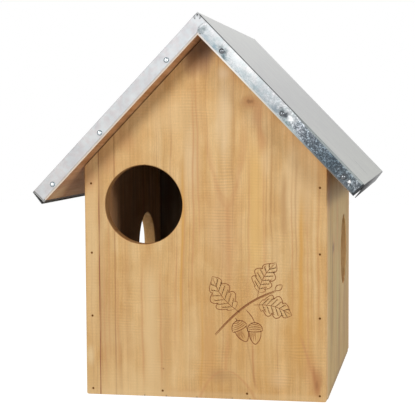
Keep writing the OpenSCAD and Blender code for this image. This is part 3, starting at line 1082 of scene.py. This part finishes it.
@dataclass(frozen=True)
class SteelFinish:
    """Steel of nails, brads and hinges, with patchy grime."""

    name: str
    face: Colour
    rim: Colour
    roughness: float
    metallic: float
    speckle: tuple[float, float] = (0.85, 1.1)
    specular: float = 0.5
    bump_mm: float = 0.03

    def build(self, effects: Effects) -> Material:
        """Builds the finish.

        Args:
            effects: The shared effects.

        Returns:
            The material.
        """
        finish = Finish(self.name, effects)
        crystals = finish.use(effects.spangle, Place=finish.place)["Crystals"]
        dirt = finish.ease(finish.noise(finish.place, 0.9, detail=4), 0.35, 0.65)
        colour = finish.mix(dirt * 0.5, self.face, self.rim)
        colour = self.with_heads(finish, finish.shaded(colour, crystals, *self.speckle))
        return finish.done(dirt, self.bump_mm, Base_Color=colour, Metallic=self.metallic,
                           Roughness=self.roughness, Specular_IOR_Level=self.specular)

    def with_heads(self, finish: Finish, colour: Value) -> Value:
        """Finishes the heads, which plain steel keeps as they are."""
        return colour


@dataclass(frozen=True)
class CloutFinish(SteelFinish):
    """Galvanised nails: pale on the left slope and dark on the right one."""

    # The pale heads, and their rim of painted shade
    pale_head: Colour = (0.52, 0.55, 0.57)
    pale_rim_shade: Colour = (0.14, 0.20, 0.22)
    rim_mm: float = 0.75

    def with_heads(self, finish: Finish, colour: Value) -> Value:
        """Makes the heads of the left slope pale, with a dark rim of painted shade where they meet
        the sheet.

        Args:
            finish: The finish that is being built.
            colour: The colour of the steel.

        Returns:
            The colour with the heads.
        """
        x, y, _ = finish.parts(finish.place)
        head = min(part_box(node)[0].y for node in ("front_flange_nails", "zinc_cover")) / MM
        low = finish.ease(y, head + self.rim_mm - 0.15, head + self.rim_mm + 0.15)
        pale_head = finish.mix(low, self.pale_head, self.pale_rim_shade)
        return finish.mix(finish.ease(x, 0.5, -0.5), colour, pale_head)


@dataclass(frozen=True)
class ScorchFinish:
    """Wood that a hot tip has browned, paler where the tip moved fast."""

    name: str = "scorched_line"
    pale: Colour = (0.45, 0.225, 0.085)
    deep: Colour = (0.24, 0.092, 0.035)
    burn_attribute: str = "burn"
    bump_mm: float = 0.03

    def build(self, effects: Effects) -> Material:
        """Builds the finish.

        Args:
            effects: The shared effects.

        Returns:
            The material.
        """
        finish = Finish(self.name, effects)
        burn = finish.add("ShaderNodeAttribute", attribute_name=self.burn_attribute)
        uneven = finish.noise(finish.place, 0.8, detail=3)
        share = Value(finish, burn.outputs["Fac"]) + (uneven * 0.9 - 0.45)
        colour = finish.mix(finish.ease(share, 0.0, 1.0), self.pale, self.deep)
        return finish.done(uneven, self.bump_mm, Base_Color=colour, Roughness=0.85,
                           Specular_IOR_Level=0.15)


def dress(material: Material, *nodes: str) -> None:
    """Gives CAD nodes a finish.

    Args:
        material: The finish.
        nodes: The names of the nodes.
    """
    for name in nodes:
        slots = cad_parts[name].data.materials
        slots.clear()
        slots.append(material)
        LOG.info("dressed %s in %s", name, material.name)


def new_object(name: str, data: bpy.types.ID) -> bpy.types.Object:
    """Adds an object to the scene.

    Args:
        name: Its name.
        data: Its mesh, lamp or camera.

    Returns:
        The object.
    """
    thing = bpy.data.objects.new(name, data)
    bpy.context.scene.collection.objects.link(thing)
    return thing


def directions(angle_deg: float) -> tuple[np.ndarray, np.ndarray]:
    """The unit vectors along an angle on the panel and square to it, to its left."""
    cosine, sine = math.cos(math.radians(angle_deg)), math.sin(math.radians(angle_deg))
    return np.array([cosine, sine]), np.array([-sine, cosine])


@dataclass
class Stroke:
    """One stroke of the hot tip: a line on the panel, its width along it, and how dark it is."""

    points_mm: np.ndarray
    width_mm: np.ndarray
    burn: float


@dataclass
class Sprig:
    """A scorched oak sprig with acorns, drawn in fine strokes on the front panel."""

    centre_mm: tuple[float, float] = (45.0, 96.0)
    proud_mm: float = 0.05
    sunk_mm: float = 0.05
    line_mm: float = 0.9
    strokes: list[Stroke] = field(default_factory=list)

    def stroke(self, points: np.ndarray, width: float, burn: float) -> None:
        """Adds a stroke that is narrower at both of its ends.

        The width is the full width times the fourth root of 4 t (1 - t) + 0.02, with t from 0
        to 1 along the stroke.

        Args:
            points: Places across and up the panel, from the middle of the drawing.
            width: The full width, as a share of that of a plain line.
            burn: How dark the stroke is, from 0 to 1.
        """
        t = np.linspace(0.0, 1.0, len(points))
        swell = (4.0 * t * (1.0 - t) + 0.02) ** 0.25
        self.strokes.append(Stroke(points + self.centre_mm, width * self.line_mm * swell, burn))

    def leaf(self, root: tuple[float, float], angle_deg: float, length: float,
             width: float) -> None:
        """Adds an oak leaf with a lobed edge, a midrib and side veins.

        With b from 0 at the foot of the blade to 1 at its tip, half the width without lobes is
        half the full width times the sine of pi times b to the power 0.8, all to the power
        0.75. The lobes multiply that by 0.56 plus half a wave. The wave is a rectified sine to
        the power 0.55, so that the lobes are round and have narrow bays between them.

        Args:
            root: Where the stalk joins the twig.
            angle_deg: The direction of the tip.
            length: The length of the leaf.
            width: Its full width.
        """
        ahead, aside = directions(angle_deg)
        stalk = 0.12
        bend = 0.10 * length

        def place(t: np.ndarray, off: np.ndarray) -> np.ndarray:
            """Points at shares t along the bent midrib and off beside it."""
            return (np.array(root) + np.outer(length * t, ahead)
                    + np.outer(off + bend * np.sin(np.pi * t), aside))

        def blade_half(t: np.ndarray) -> np.ndarray:
            """Half the width of the blade without its lobes."""
            blade = np.clip((t - stalk) / (1.0 - stalk), 0, 1)
            return 0.5 * width * np.sin(np.pi * blade ** 0.80) ** 0.75

        t = np.linspace(stalk, 1.0, 150)
        blade = (t - stalk) / (1.0 - stalk)
        for side, phase in ((-1.0, 0.0), (1.0, 0.16)):
            wave = np.abs(np.sin(np.pi * (3.7 * blade ** 0.95 + 0.30 + phase))) ** 0.55
            self.stroke(place(t + 0.035 * (wave - 0.5) * (1.0 - blade),
                              side * blade_half(t) * (0.56 + 0.50 * wave)), 1.0, 0.70)
        self.stroke(place(np.linspace(0.0, 0.97, 40), np.zeros(40)), 0.85, 0.65)
        run = np.linspace(0.0, 1.0, 14)
        for number in range(6):
            start = 0.20 + 0.112 * number
            reach = float(blade_half(np.array(start + 0.10)))
            for side in (-1.0, 1.0):
                along = start + 0.13 * run
                off = np.minimum(0.82 * reach * run ** 1.15, 0.80 * blade_half(along))
                self.stroke(place(along, side * off), 0.55, 0.45)
                for row in range(7):
                    step = 0.10 + 0.12 * row
                    span = 0.16 + 0.08 * math.sin(2.6 * row + 5.0 * start + side)
                    along = start + 0.13 * step + 0.055 * run
                    off = np.minimum(reach * (0.78 * step + span * run), 0.72 * blade_half(along))
                    self.stroke(place(along, side * off), 0.48, 0.18)

    def acorn(self, root: tuple[float, float], angle_deg: float, size: float) -> None:
        """Adds an acorn: a nut with a point, hatched on one side, in a scaly cup.

        Args:
            root: Where the cup joins its stalk.
            angle_deg: The direction of the point.
            size: The length of the whole acorn.
        """
        ahead, aside = directions(angle_deg)
        # Half the width of the cup, which is also its depth, as a share of the size
        cup = 0.36

        def place(along: np.ndarray, off: np.ndarray) -> np.ndarray:
            """Points at shares of the size along the acorn and beside it."""
            return np.array(root) + size * (np.outer(along, ahead) + np.outer(off, aside))

        turn = np.linspace(-0.5 * np.pi, 0.5 * np.pi, 40)
        self.stroke(place(0.34 + 0.58 * np.cos(turn) + 0.08 * np.cos(turn) ** 12,
                          0.27 * np.sin(turn) * (1.0 + 0.25 * np.cos(turn))), 1.0, 0.8)
        self.stroke(place(cup - cup * np.cos(turn), cup * np.sin(turn)), 1.0, 0.9)
        self.stroke(place(cup + 0.07 * np.cos(turn), cup * np.sin(turn)), 1.0, 0.85)
        for row in range(1, 5):
            depth = cup - 0.08 * row
            half = cup * math.sqrt(max(1.0 - ((cup - depth) / cup) ** 2, 0.0))
            across = np.linspace(-half, half, 26)
            along = (depth + 0.05 * np.cos(0.5 * np.pi * across / max(half, 0.01))
                     + 0.014 * np.sin(120.0 * across + row))
            self.stroke(place(along, across), 0.7, 0.8)
        for number in range(7):
            run = np.linspace(0.46, 0.84 - 0.10 * (number % 3), 16)
            round_off = np.sqrt(np.clip(1.0 - ((run - 0.40) / 0.56) ** 2, 0, 1))
            self.stroke(place(run, (-0.25 + 0.045 * number) * round_off), 0.6, 0.40)

    def draw(self) -> None:
        """Draws the sprig: a twig, three leaves, two acorns and a bud."""
        t = np.linspace(0.0, 1.0, 60)
        twig = np.column_stack([-34.0 + 62.0 * t, -30.0 + 46.0 * t + 7.0 * np.sin(np.pi * t)])
        for shift, burn in ((0.0, 0.9), (0.8, 0.6)):
            self.stroke(twig + (shift, -shift), 1.2, burn)
        self.leaf((-8.0, -7.0), 128.0, 46.0, 25.0)
        self.leaf((10.0, 9.0), 62.0, 40.0, 22.0)
        self.leaf((6.0, 1.0), -14.0, 40.0, 22.0)
        t = np.linspace(0.0, 1.0, 16)[:, None]
        for start, root, angle, size in (((-13.0, -13.0), (-12.0, -16.0), -62.0, 23.0),
                                         ((-2.0, -4.0), (7.0, -17.0), -88.0, 22.0)):
            straight = np.array(start) + t * (np.array(root) - start)
            self.stroke(straight + np.sin(np.pi * t) * (1.2, 0.0), 1.0, 0.8)
            self.acorn(root, angle, size)
        t = np.linspace(0.0, 1.0, 20)[:, None]
        for side in (-1.0, 1.0):
            bulge = side * 2.0 * np.sin(np.pi * t) * (-1.0, 1.0)
            self.stroke((28.0, 16.0) + t * (7.0, 6.0) + bulge, 1.0, 0.75)

    def build(self, material: Material) -> bpy.types.Object:
        """Makes the strokes one mesh of thin closed strips, and lets it ride on the house.

        A strip has four corners at each point of its stroke: the point, half the width to
        either side of it, on the face and just under it. Each pair of neighbouring points is
        joined by four quads, and both ends are closed.

        Args:
            material: The finish of the scorched lines.

        Returns:
            The drawing.
        """
        self.draw()
        # The four corners of a strip in order: both on the face, then both under it
        sides = np.array([-1.0, 1.0, 1.0, -1.0])[:, None]
        depths = np.array([-self.proud_mm, -self.proud_mm, self.sunk_mm, self.sunk_mm]) * MM
        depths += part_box("front_panel")[0].y
        vertices, faces, burns = [], [], []
        first = 0
        for stroke in self.strokes:
            points, count = stroke.points_mm, len(stroke.points_mm)
            ahead = np.gradient(points, axis=0)
            ahead /= np.linalg.norm(ahead, axis=1, keepdims=True) + 1e-9
            aside = ahead[:, ::-1] * (-1.0, 1.0) * stroke.width_mm[:, None] / 2
            flat = (points[:, None] + sides * aside[:, None]) * MM
            deep = np.broadcast_to(depths, (count, 4))
            vertices.append(np.stack([flat[..., 0], deep, flat[..., 1]], axis=-1).reshape(-1, 3))
            ring = first + np.arange(4 * count).reshape(count, 4)
            turned = np.roll(ring, -1, axis=1)
            quads = np.stack([ring[:-1], ring[1:], turned[1:], turned[:-1]], axis=-1)
            faces += [quads.reshape(-1, 4), ring[:1], ring[-1:, ::-1]]
            burns.append(np.full(4 * count, stroke.burn))
            first += 4 * count
        mesh = bpy.data.meshes.new("scorched_sprig")
        mesh.from_pydata(np.concatenate(vertices).tolist(), [], np.concatenate(faces).tolist())
        burn = mesh.attributes.new(ScorchFinish.burn_attribute, "FLOAT", "POINT")
        burn.data.foreach_set("value", np.concatenate(burns).astype(np.float32))
        mesh.materials.append(material)
        mesh.update()
        piece = new_object("scorched_sprig", mesh)
        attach(piece, "house")
        LOG.info("made %s of %d strokes", piece.name, len(self.strokes))
        return piece


@dataclass
class House:
    """The nailed box: its panels, walls and floor, with their brads."""

    effects: Effects

    def front_wood(self) -> WoodFinish:
        """The front panel's wood, with the joints, knots and arches of the real one, and painted
        shade at the apex and under the left eave.
        """
        return WoodFinish(
            "front_panel_wood", Along.UPRIGHT_FRONT, seed=12.0,
            joints_mm=(-109.9, -93.3), joint_shares=(0.95, 0.42), tones=(1.03, 0.99, 1.0),
            dark_band=(0.93, 0.895, 0.83), pale_band=(1.05, 1.07, 1.11), lines=0.36,
            # The front bore is darkened, partly as the colour of sawn wood and partly as painted
            # shade
            bores=(Bore(-62.6, 197.8, 40.5, (0.70, 0.56, 0.48)),),
            heart_x_mm=25.0, heart_y_mm=70.0, spacing_mm=9.0, taper=0.03,
            knots=Knot.each(
                (48, 302, 4.2, 3, 0.6, 0.85), (115, 17, 2, 8, 0.35, 0.4),
                (-43, 29, 1.1, 1, 0.8, 0.4)),
            arches=(Arch(24, 196, 0.21, 130, 5, 0.3, lean=-0.035, colour=REDDISH),
                    Arch(24, 205, 0.13, 100, 3, 0.2, lean=-0.035, colour=REDDISH),
                    Arch(23, 29, -0.036, 60, 3, 0.5, 0.24, colour=REDDISH)),
            patches=Patch.each(
                (20, 178, 30, 75, PINKISH, 0.4), (-118, 150, 9, 170, PALE, 0.6, 0.4),
                (56, 290, 9, 22, REDDISH, 0.62, 1.4), (60, 262, 7, 18, REDDISH, 0.65, 1.4),
                (46, 298, 13, 12, KNOT_HALO, 0.35, 1.2),
                (4, 58, 16, 58, (0.57, 0.305, 0.105), 0.75),
                (17, 24, 20, 12, (0.42, 0.24, 0.105), 0.62, 1.2),
                (76, 22, 14, 14, (0.7, 0.475, 0.25), 0.55, 0.5), (60, 42, 17, 55, ORANGE, 0.38),
                (95, 95, 26, 60, ORANGE, 0.32), (116, 19, 6.5, 19, DEEP_RED, 0.55, 1.8),
                (109, 33, 9, 26, REDDISH, 0.42, 1.6), (-20, 5, 40, 7, REDDISH, 0.25),
                # The three reddish patches along the left roof line below are painted shade under
                # the left eave
                (-118, 226, 12, 20, REDDISH, 0.5, 1.2), (-100, 244, 14, 20, REDDISH, 0.45, 1.2),
                (-80, 264, 14, 18, REDDISH, 0.4, 1.2), (-100, 70, 12, 60, BROWN, 0.22),
                (-88, 60, 40, 34, PALE, 0.35), (-26, 62, 44, 60, PALE, 0.34),
                (-85, 2, 90, 52, (0.76, 0.565, 0.3), 0.5, 0.7),
                (21, 292, 14, 66, (0.74, 0.56, 0.335), 0.62, 0.8),
                (-12, 236, 14, 62, (0.72, 0.525, 0.3), 0.58),
                (96, 214, 32, 66, (0.68, 0.495, 0.275), 0.48),
                (40, 36, 30, 34, (0.57, 0.335, 0.125), 0.35), (96, 62, 26, 50, ORANGE, 0.36),
                (21, 331, 10, 12, (0.78, 0.61, 0.39), 0.55, 0.8),
                (63, 240, 8, 20, (0.72, 0.52, 0.29), 0.42),
                (-120, 40, 6, 16, (0.78, 0.6, 0.34), 0.55, 0.5), (-30, 290, 60, 30, PALE, 0.3),
                # The next two dark patches at the apex are painted shade under the ridge
                (-6, 344, 25, 20, (0.26, 0.1, 0.048), 0.58, 1.2),
                (2, 357, 26, 20, UMBER, 0.85, 0.6), (0, 3, 400, 5.5, PALE, 0.45, 0.5),
                (0, -0.6, 400, 1.5, BROWN, 0.55, 0.3), (-63, 0, 1.2, 2.6, UMBER, 0.9, 0.2),
                (-40, 0, 1.2, 2.8, UMBER, 0.9, 0.2), (-8, 0, 1.4, 2.2, UMBER, 0.8, 0.2),
                (29, 0, 1.2, 2.4, UMBER, 0.8, 0.2), (47, 0, 1.2, 2.4, UMBER, 0.8, 0.2)),
            veins=Vein.each(
                (-56, 70, 8.5, 90, PALE, 0.75), (-106.6, 170, 3.6, 150, BROWN, 0.38),
                (-65, 75, 1, 85, REDDISH, 0.55), (-46, 72, 1.1, 80, REDDISH, 0.6),
                (-41, 60, 3, 70, BROWN, 0.25), (-80, 90, 3, 90, BROWN, 0.28),
                (-90, 70, 1.2, 70, REDDISH, 0.5), (-99, 120, 1, 110, REDDISH, 0.45),
                (-104, 80, 1.2, 90, REDDISH, 0.5), (-107.5, 60, 0.9, 60, THIN_LINE, 0.45),
                (-23, 150, 1.5, 120, ORANGE, 0.95, 0.02),
                (-21.5, 140, 0.8, 110, REDDISH, 0.5, 0.02),
                (-30, 100, 1.2, 70, REDDISH, 0.35, 0.03), (-11, 215, 1, 140, REDDISH, 0.65, 0.01),
                (-6, 240, 0.9, 120, REDDISH, 0.6, -0.01), (-2, 60, 1.2, 60, ORANGE, 0.5, 0.02),
                (52, 195, 8, 90, GOLDEN, 0.7), (46, 180, 0.9, 90, REDDISH, 0.5),
                (61, 170, 0.9, 110, REDDISH, 0.5), (68, 210, 1.2, 70, BROWN, 0.35),
                (72, 120, 5, 80, PALE, 0.4), (82, 197, 2.8, 42, BROWN, 0.6),
                (90, 150, 0.8, 100, REDDISH, 0.45), (94, 190, 1, 80, THIN_LINE, 0.35),
                (99, 130, 2.6, 95, ORANGE, 0.9, 0.01), (106, 110, 0.9, 110, REDDISH, 0.5),
                (113, 160, 1.4, 100, PALE, 0.55), (117, 150, 0.9, 130, REDDISH, 0.45),
                (106, 44, 1.5, 30, REDDISH, 0.65, -0.34), (114, 22, 1.5, 20, DEEP_RED, 0.6, -0.12),
                (51, 36, 1.1, 32, (0.44, 0.185, 0.065), 0.65, -0.05),
                (48, 40, 1, 36, BROWN, 0.4, -0.2)),
            ripples=Ripple.each(
                (24, 200, 34, 85, 1), (-68, 88, 52, 45, 0.8), (60, 130, 60, 60, 0.6),
                (-20, 290, 60, 40, 0.7), (10, 40, 90, 40, 0.6), (96, 35, 40, 40, 0.8)))

    def back_wood(self) -> WoodFinish:
        """The back panel's wood."""
        return WoodFinish(
            "back_panel_wood", Along.UPRIGHT_FRONT, seed=57.0,
            joints_mm=(-72.0, 18.0, 81.0), joint_shares=(0.5, 0.6, 0.4),
            tones=(1.0, 0.95, 1.03, 0.97), heart_x_mm=-30.0, heart_y_mm=-80.0, spacing_mm=8.0,
            knots=Knot.each(
                (-38, 118, 5, 7, 0.5, 0.5), (54, 226, 3, 4, 0.5, 0.4)),
            arches=(Arch(-28, 150, 0.16, 150, 2.4, 0.25), Arch(42, 92, -0.12, 90, 2.2, 0.25)),
            veins=Vein.each(
                (-100, 150, 2, 120, REDDISH, 0.4), (5, 200, 1.4, 120, ORANGE, 0.5),
                (96, 110, 2.4, 90, BROWN, 0.4)),
            ripples=Ripple.each((-10, 120, 60, 60, 0.8)))

    def side_wood(self, name: str, seed: float, **marks: Any) -> WoodFinish:
        """A side wall's wood.

        Args:
            name: The name of the finish.
            seed: A number that sets its grain apart.
            marks: The marks of this wall, and what else it has of its own.

        Returns:
            The finish.
        """
        return WoodFinish(
            name, Along.UPRIGHT_SIDE, seed=seed, heart_x_mm=-20.0 + seed, heart_y_mm=40.0,
            light=(0.520, 0.355, 0.138), late=(0.39, 0.255, 0.088), warm=(0.46, 0.298, 0.102),
            dark_band=(0.90, 0.87, 0.82), pale_band=(1.06, 1.08, 1.12),
            spacing_mm=9.0, rings=0.45, joints_mm=(-61.0, 12.0, 78.0),
            joint_shares=(0.30, 0.45, 0.35), tones=(1.0, 0.95, 1.0, 0.97),
            # The side bores are lightened as painted light
            bores=(Bore(66.0, 134.0, 40.5, (1.72, 1.54, 1.72)),), **marks)

    def right_wood(self) -> WoodFinish:
        """The right wall's wood, with its crack, its dark band, its darker foot, and painted shade
        under the eave by its front edge.
        """
        return self.side_wood(
            "right_wall_wood", 83.0, knots=Knot.each((-67, 149, 4, 8, 0.92, 0.7)),
            patches=Patch.each(
                # Painted shade under the eave, by the front edge
                (-146, 214, 46, 44, DEEP_RED, 0.8, 0.4),
                (-78, 149, 9, 9, (0.055, 0.042, 0.03), 0.9, 0.7),
                (0, -2, 260, 11, UMBER, 0.6, 0.2), (-20, 30, 90, 26, BROWN, 0.25)),
            veins=Vein.each(
                (-88, 100, 9, 85, (0.25, 0.155, 0.06), 0.6, 0.05),
                (-112, 120, 5, 110, (0.34, 0.205, 0.075), 0.55),
                (-104, 190, 5, 60, (0.24, 0.145, 0.058), 0.5),
                (-46, 80, 16, 100, (0.58, 0.405, 0.165), 0.38),
                (-16, 85, 9, 80, (0.47, 0.38, 0.155), 0.75), (-22, 168, 8, 50, REDDISH, 0.45),
                (8, 60, 6, 70, (0.34, 0.205, 0.075), 0.55),
                (36, 80, 14, 70, (0.54, 0.355, 0.145), 0.38),
                (-5, 36, 8, 45, (0.34, 0.205, 0.075), 0.55), (78, 60, 12, 60, KNOT_RIM, 0.55),
                (-125, 90, 9, 120, (0.6, 0.43, 0.19), 0.4), (118, 100, 12, 120, BROWN, 0.4)))

    def left_wood(self) -> WoodFinish:
        """The left wall's wood, with painted light on its inside face."""
        return self.side_wood(
            # The inside of this wall is lightened as painted light, by the strip that the front
            # entrance lets light onto
            "left_wall_wood", 31.0, inside_tint=(1.58, 1.22, 1.50),
            patches=Patch.each((0, -2, 260, 10, UMBER, 0.35, 0.2)),
            veins=Vein.each((-30, 70, 4, 90, BROWN, 0.4), (45, 150, 3, 90, REDDISH, 0.4)))

    def build(self) -> None:
        """Dresses the panels, walls, floor and brads, and adds the scorched sprig."""
        floor = WoodFinish("floor_wood", Along.DEPTH, seed=5.0, heart_y_mm=-60.0,
                           joints_mm=(-58.0, 4.0, 66.0), joint_shares=(0.5, 0.5, 0.5),
                           tones=(1.0, 0.96, 1.02, 0.97))
        for wood, node in ((self.front_wood(), "front_panel"), (self.back_wood(), "back_panel"),
                           (self.left_wood(), "left_side"), (self.right_wood(), "right_side"),
                           (floor, "floor")):
            dress(wood.build(self.effects), node)
        brads = SteelFinish("brad_steel", (0.200, 0.085, 0.022), (0.100, 0.042, 0.013), 0.9, 0.0,
                            specular=0.05)
        dress(brads.build(self.effects), "front_panel_brads", "back_panel_brads", "ridge_brads")
        Sprig().build(ScorchFinish().build(self.effects))


@dataclass
class Roof:
    """The lid: both boards, the folded sheet over them, its nails and the hinges."""

    effects: Effects

    def board_wood(self, side: str, seed: float, **ends: Any) -> RoofWoodFinish:
        """A roof board's wood.

        Args:
            side: The side of the roof that the board is on.
            seed: A number that sets its grain apart.
            ends: What its front end has of its own.

        Returns:
            The finish.
        """
        return RoofWoodFinish(
            f"{side}_roof_wood", Along.DEPTH, seed=seed, heart_x_mm=40.0, heart_y_mm=150.0,
            light=(0.63, 0.365, 0.190), late=(0.48, 0.245, 0.115), warm=(0.57, 0.295, 0.130),
            dark_band=(0.84, 0.78, 0.74), pale_band=(1.08, 1.10, 1.14),
            patches=Patch.each(
                (-152, -150, 12, 34, PALE, 0.55), (-133, -120, 7, 30, PINKISH, 0.5),
                (-120, -160, 10, 16, DEEP_RED, 0.5), (-60, -165, 60, 9, REDDISH, 0.4)),
            spacing_mm=8.0, rings=0.5, node=f"{side}_roof_board", **ends)

    def build(self) -> None:
        """Dresses the boards, the sheet, its nails and both hinges."""
        left = self.board_wood("left", 19.0, shadowed_end=(0.30, 0.30, 0.29))
        # The front end of the right board, from the ridge to the eave: pale by the ridge and dark
        # grey by the eave
        right_end_grain = (
            (0, (0.76, 0.69, 0.63)), (0.13, (0.73, 0.69, 0.66)), (0.24, (0.87, 0.86, 0.82)),
            (0.36, (0.74, 0.73, 0.68)), (0.5, (0.62, 0.62, 0.58)), (0.62, (0.47, 0.52, 0.51)),
            (0.7, (0.26, 0.3, 0.31)), (0.78, (0.13, 0.15, 0.155)), (1, (0.14, 0.15, 0.155)))
        right = self.board_wood("right", 44.0, end_grain=right_end_grain, end_grain_mm=14.9)
        nails = CloutFinish("galvanised_nail", (0.16, 0.17, 0.18), (0.05, 0.06, 0.07), 0.22, 0.9)
        leaves = SteelFinish("plated_hinge", (0.62, 0.57, 0.44), (0.42, 0.38, 0.28), 0.34, 0.95)
        pins = SteelFinish("hinge_pin_steel", grey(0.50), grey(0.25), 0.3, 0.95)
        screws = SteelFinish("plated_screw", (0.66, 0.60, 0.45), (0.30, 0.26, 0.18), 0.3, 0.95)
        for finish, *nodes in (
                (left, "left_roof_board"), (right, "right_roof_board"),
                (ZincFinish(), "zinc_cover"), (nails, "front_flange_nails", "back_flange_nails"),
                (leaves, "front_hinge_wall_leaf", "front_hinge_roof_leaf",
                 "rear_hinge_wall_leaf", "rear_hinge_roof_leaf"),
                (pins, "front_hinge_pin", "rear_hinge_pin"),
                (screws, "hinge_wall_screws", "hinge_roof_screws")):
            dress(finish.build(self.effects), *nodes)


@dataclass(frozen=True)
class Lamp:
    """A soft round lamp: where it hangs, how wide it is and its power."""

    name: str
    place_m: tuple[float, float, float]
    size_m: float
    watts: float


@dataclass
class Studio:
    """The pale floor, the lamps, the world and the camera."""

    camera_m: tuple[float, float, float] = (0.23449, -1.35739, 0.27552)
    yaw_deg: float = 10.805
    pitch_deg: float = -3.727
    roll_deg: float = -0.298
    focal_px: float = 1216.06
    floor_m: float = 6.0
    floor_drop_m: float = 0.0005
    ambient: float = 0.30
    target_m: tuple[float, float, float] = (0.0, -0.1, 0.2)
    lamps: tuple[Lamp, ...] = (Lamp("key", (-0.80, -2.05, 1.12), 0.9, 29.5),
                               Lamp("front_fill", (1.60, -1.49, 0.77), 0.6, 12.0),
                               Lamp("side_fill", (1.94, 0.14, 0.62), 1.0, 7.5))

    def floor(self) -> None:
        """Lays a white floor: grey under the lamps, lifted to white for what sees it directly."""
        half = self.floor_m / 2
        mesh = bpy.data.meshes.new("studio_floor")
        mesh.from_pydata([(-half, -half, 0), (half, -half, 0), (half, half, 0), (-half, half, 0)],
                         [], [(0, 1, 2, 3)])
        floor = new_object("studio_floor", mesh)
        floor.location.z = -self.floor_drop_m
        material = bpy.data.materials.new("studio_white")
        material.use_nodes = True
        tree = Tree(material.node_tree)
        seen = self.seen_directly(tree)
        plain = tree.fed("ShaderNodeBsdfDiffuse", tree.mix(seen, 0.6, 0.5))
        glow = tree.fed("ShaderNodeEmission", 1.0, seen * 0.86)
        tree.end("ShaderNodeOutputMaterial", tree.fed("ShaderNodeAddShader", plain, glow))
        mesh.materials.append(material)

    @staticmethod
    def seen_directly(tree: Tree) -> Value:
        """1 for the rays of the camera, of gloss and of glass, and 0 for those of light.

        Args:
            tree: The node tree that asks.

        Returns:
            The number.
        """
        path = tree.add("ShaderNodeLightPath").outputs
        camera, gloss, glass = (Value(tree, path[f"Is {ray} Ray"])
                                for ray in ("Camera", "Glossy", "Transmission"))
        return tree.step("MAXIMUM", camera, tree.step("MAXIMUM", gloss, glass))

    def world(self) -> None:
        """Sets an even light from all round, which shows as white."""
        world = bpy.data.worlds.new("studio")
        world.use_nodes = True
        tree = Tree(world.node_tree)
        strength = self.seen_directly(tree) * (1.0 - self.ambient) + self.ambient
        tree.end("ShaderNodeOutputWorld", tree.fed("ShaderNodeBackground", 1.0, strength))
        bpy.context.scene.world = world

    def light(self, lamp: Lamp) -> None:
        """Hangs a lamp and turns it to the house.

        Args:
            lamp: The lamp.
        """
        disk = bpy.data.lights.new(lamp.name, "AREA")
        disk.shape = "DISK"
        disk.size = lamp.size_m
        disk.energy = lamp.watts
        light = new_object(lamp.name, disk)
        light.location = lamp.place_m
        way = Vector(self.target_m) - light.location
        light.rotation_euler = way.to_track_quat("-Z", "Y").to_euler()

    def camera(self) -> None:
        """Sets the camera where the photograph's perspective puts it."""
        yaw, pitch, roll = (math.radians(a) for a in (self.yaw_deg, self.pitch_deg, self.roll_deg))
        ahead = Vector((-math.sin(yaw) * math.cos(pitch), math.cos(yaw) * math.cos(pitch),
                        math.sin(pitch)))
        right = Vector((math.cos(yaw), math.sin(yaw), 0.0))
        up = right.cross(ahead)
        across = right * math.cos(roll) + up * math.sin(roll)
        above = up * math.cos(roll) - right * math.sin(roll)
        lens = bpy.data.cameras.new("camera")
        lens.sensor_width = SENSOR_MM
        lens.lens = self.focal_px * SENSOR_MM / IMAGE_PX
        camera = new_object("camera", lens)
        turn = Matrix((across, above, -ahead)).transposed().to_4x4()
        camera.matrix_world = Matrix.Translation(self.camera_m) @ turn
        bpy.context.scene.camera = camera

    def build(self) -> None:
        """Sets up the studio."""
        self.floor()
        self.world()
        for lamp in self.lamps:
            self.light(lamp)
        self.camera()
        bpy.context.scene.view_settings.view_transform = "Standard"
        LOG.info("set up the studio")


def main() -> None:
    """Builds the house, the roof and the studio in order."""
    logging.basicConfig(level=logging.INFO, format="%(name)s: %(message)s")
    effects = Effects()
    House(effects).build()
    Roof(effects).build()
    Studio().build()


if __name__ == "__main__":
    main()
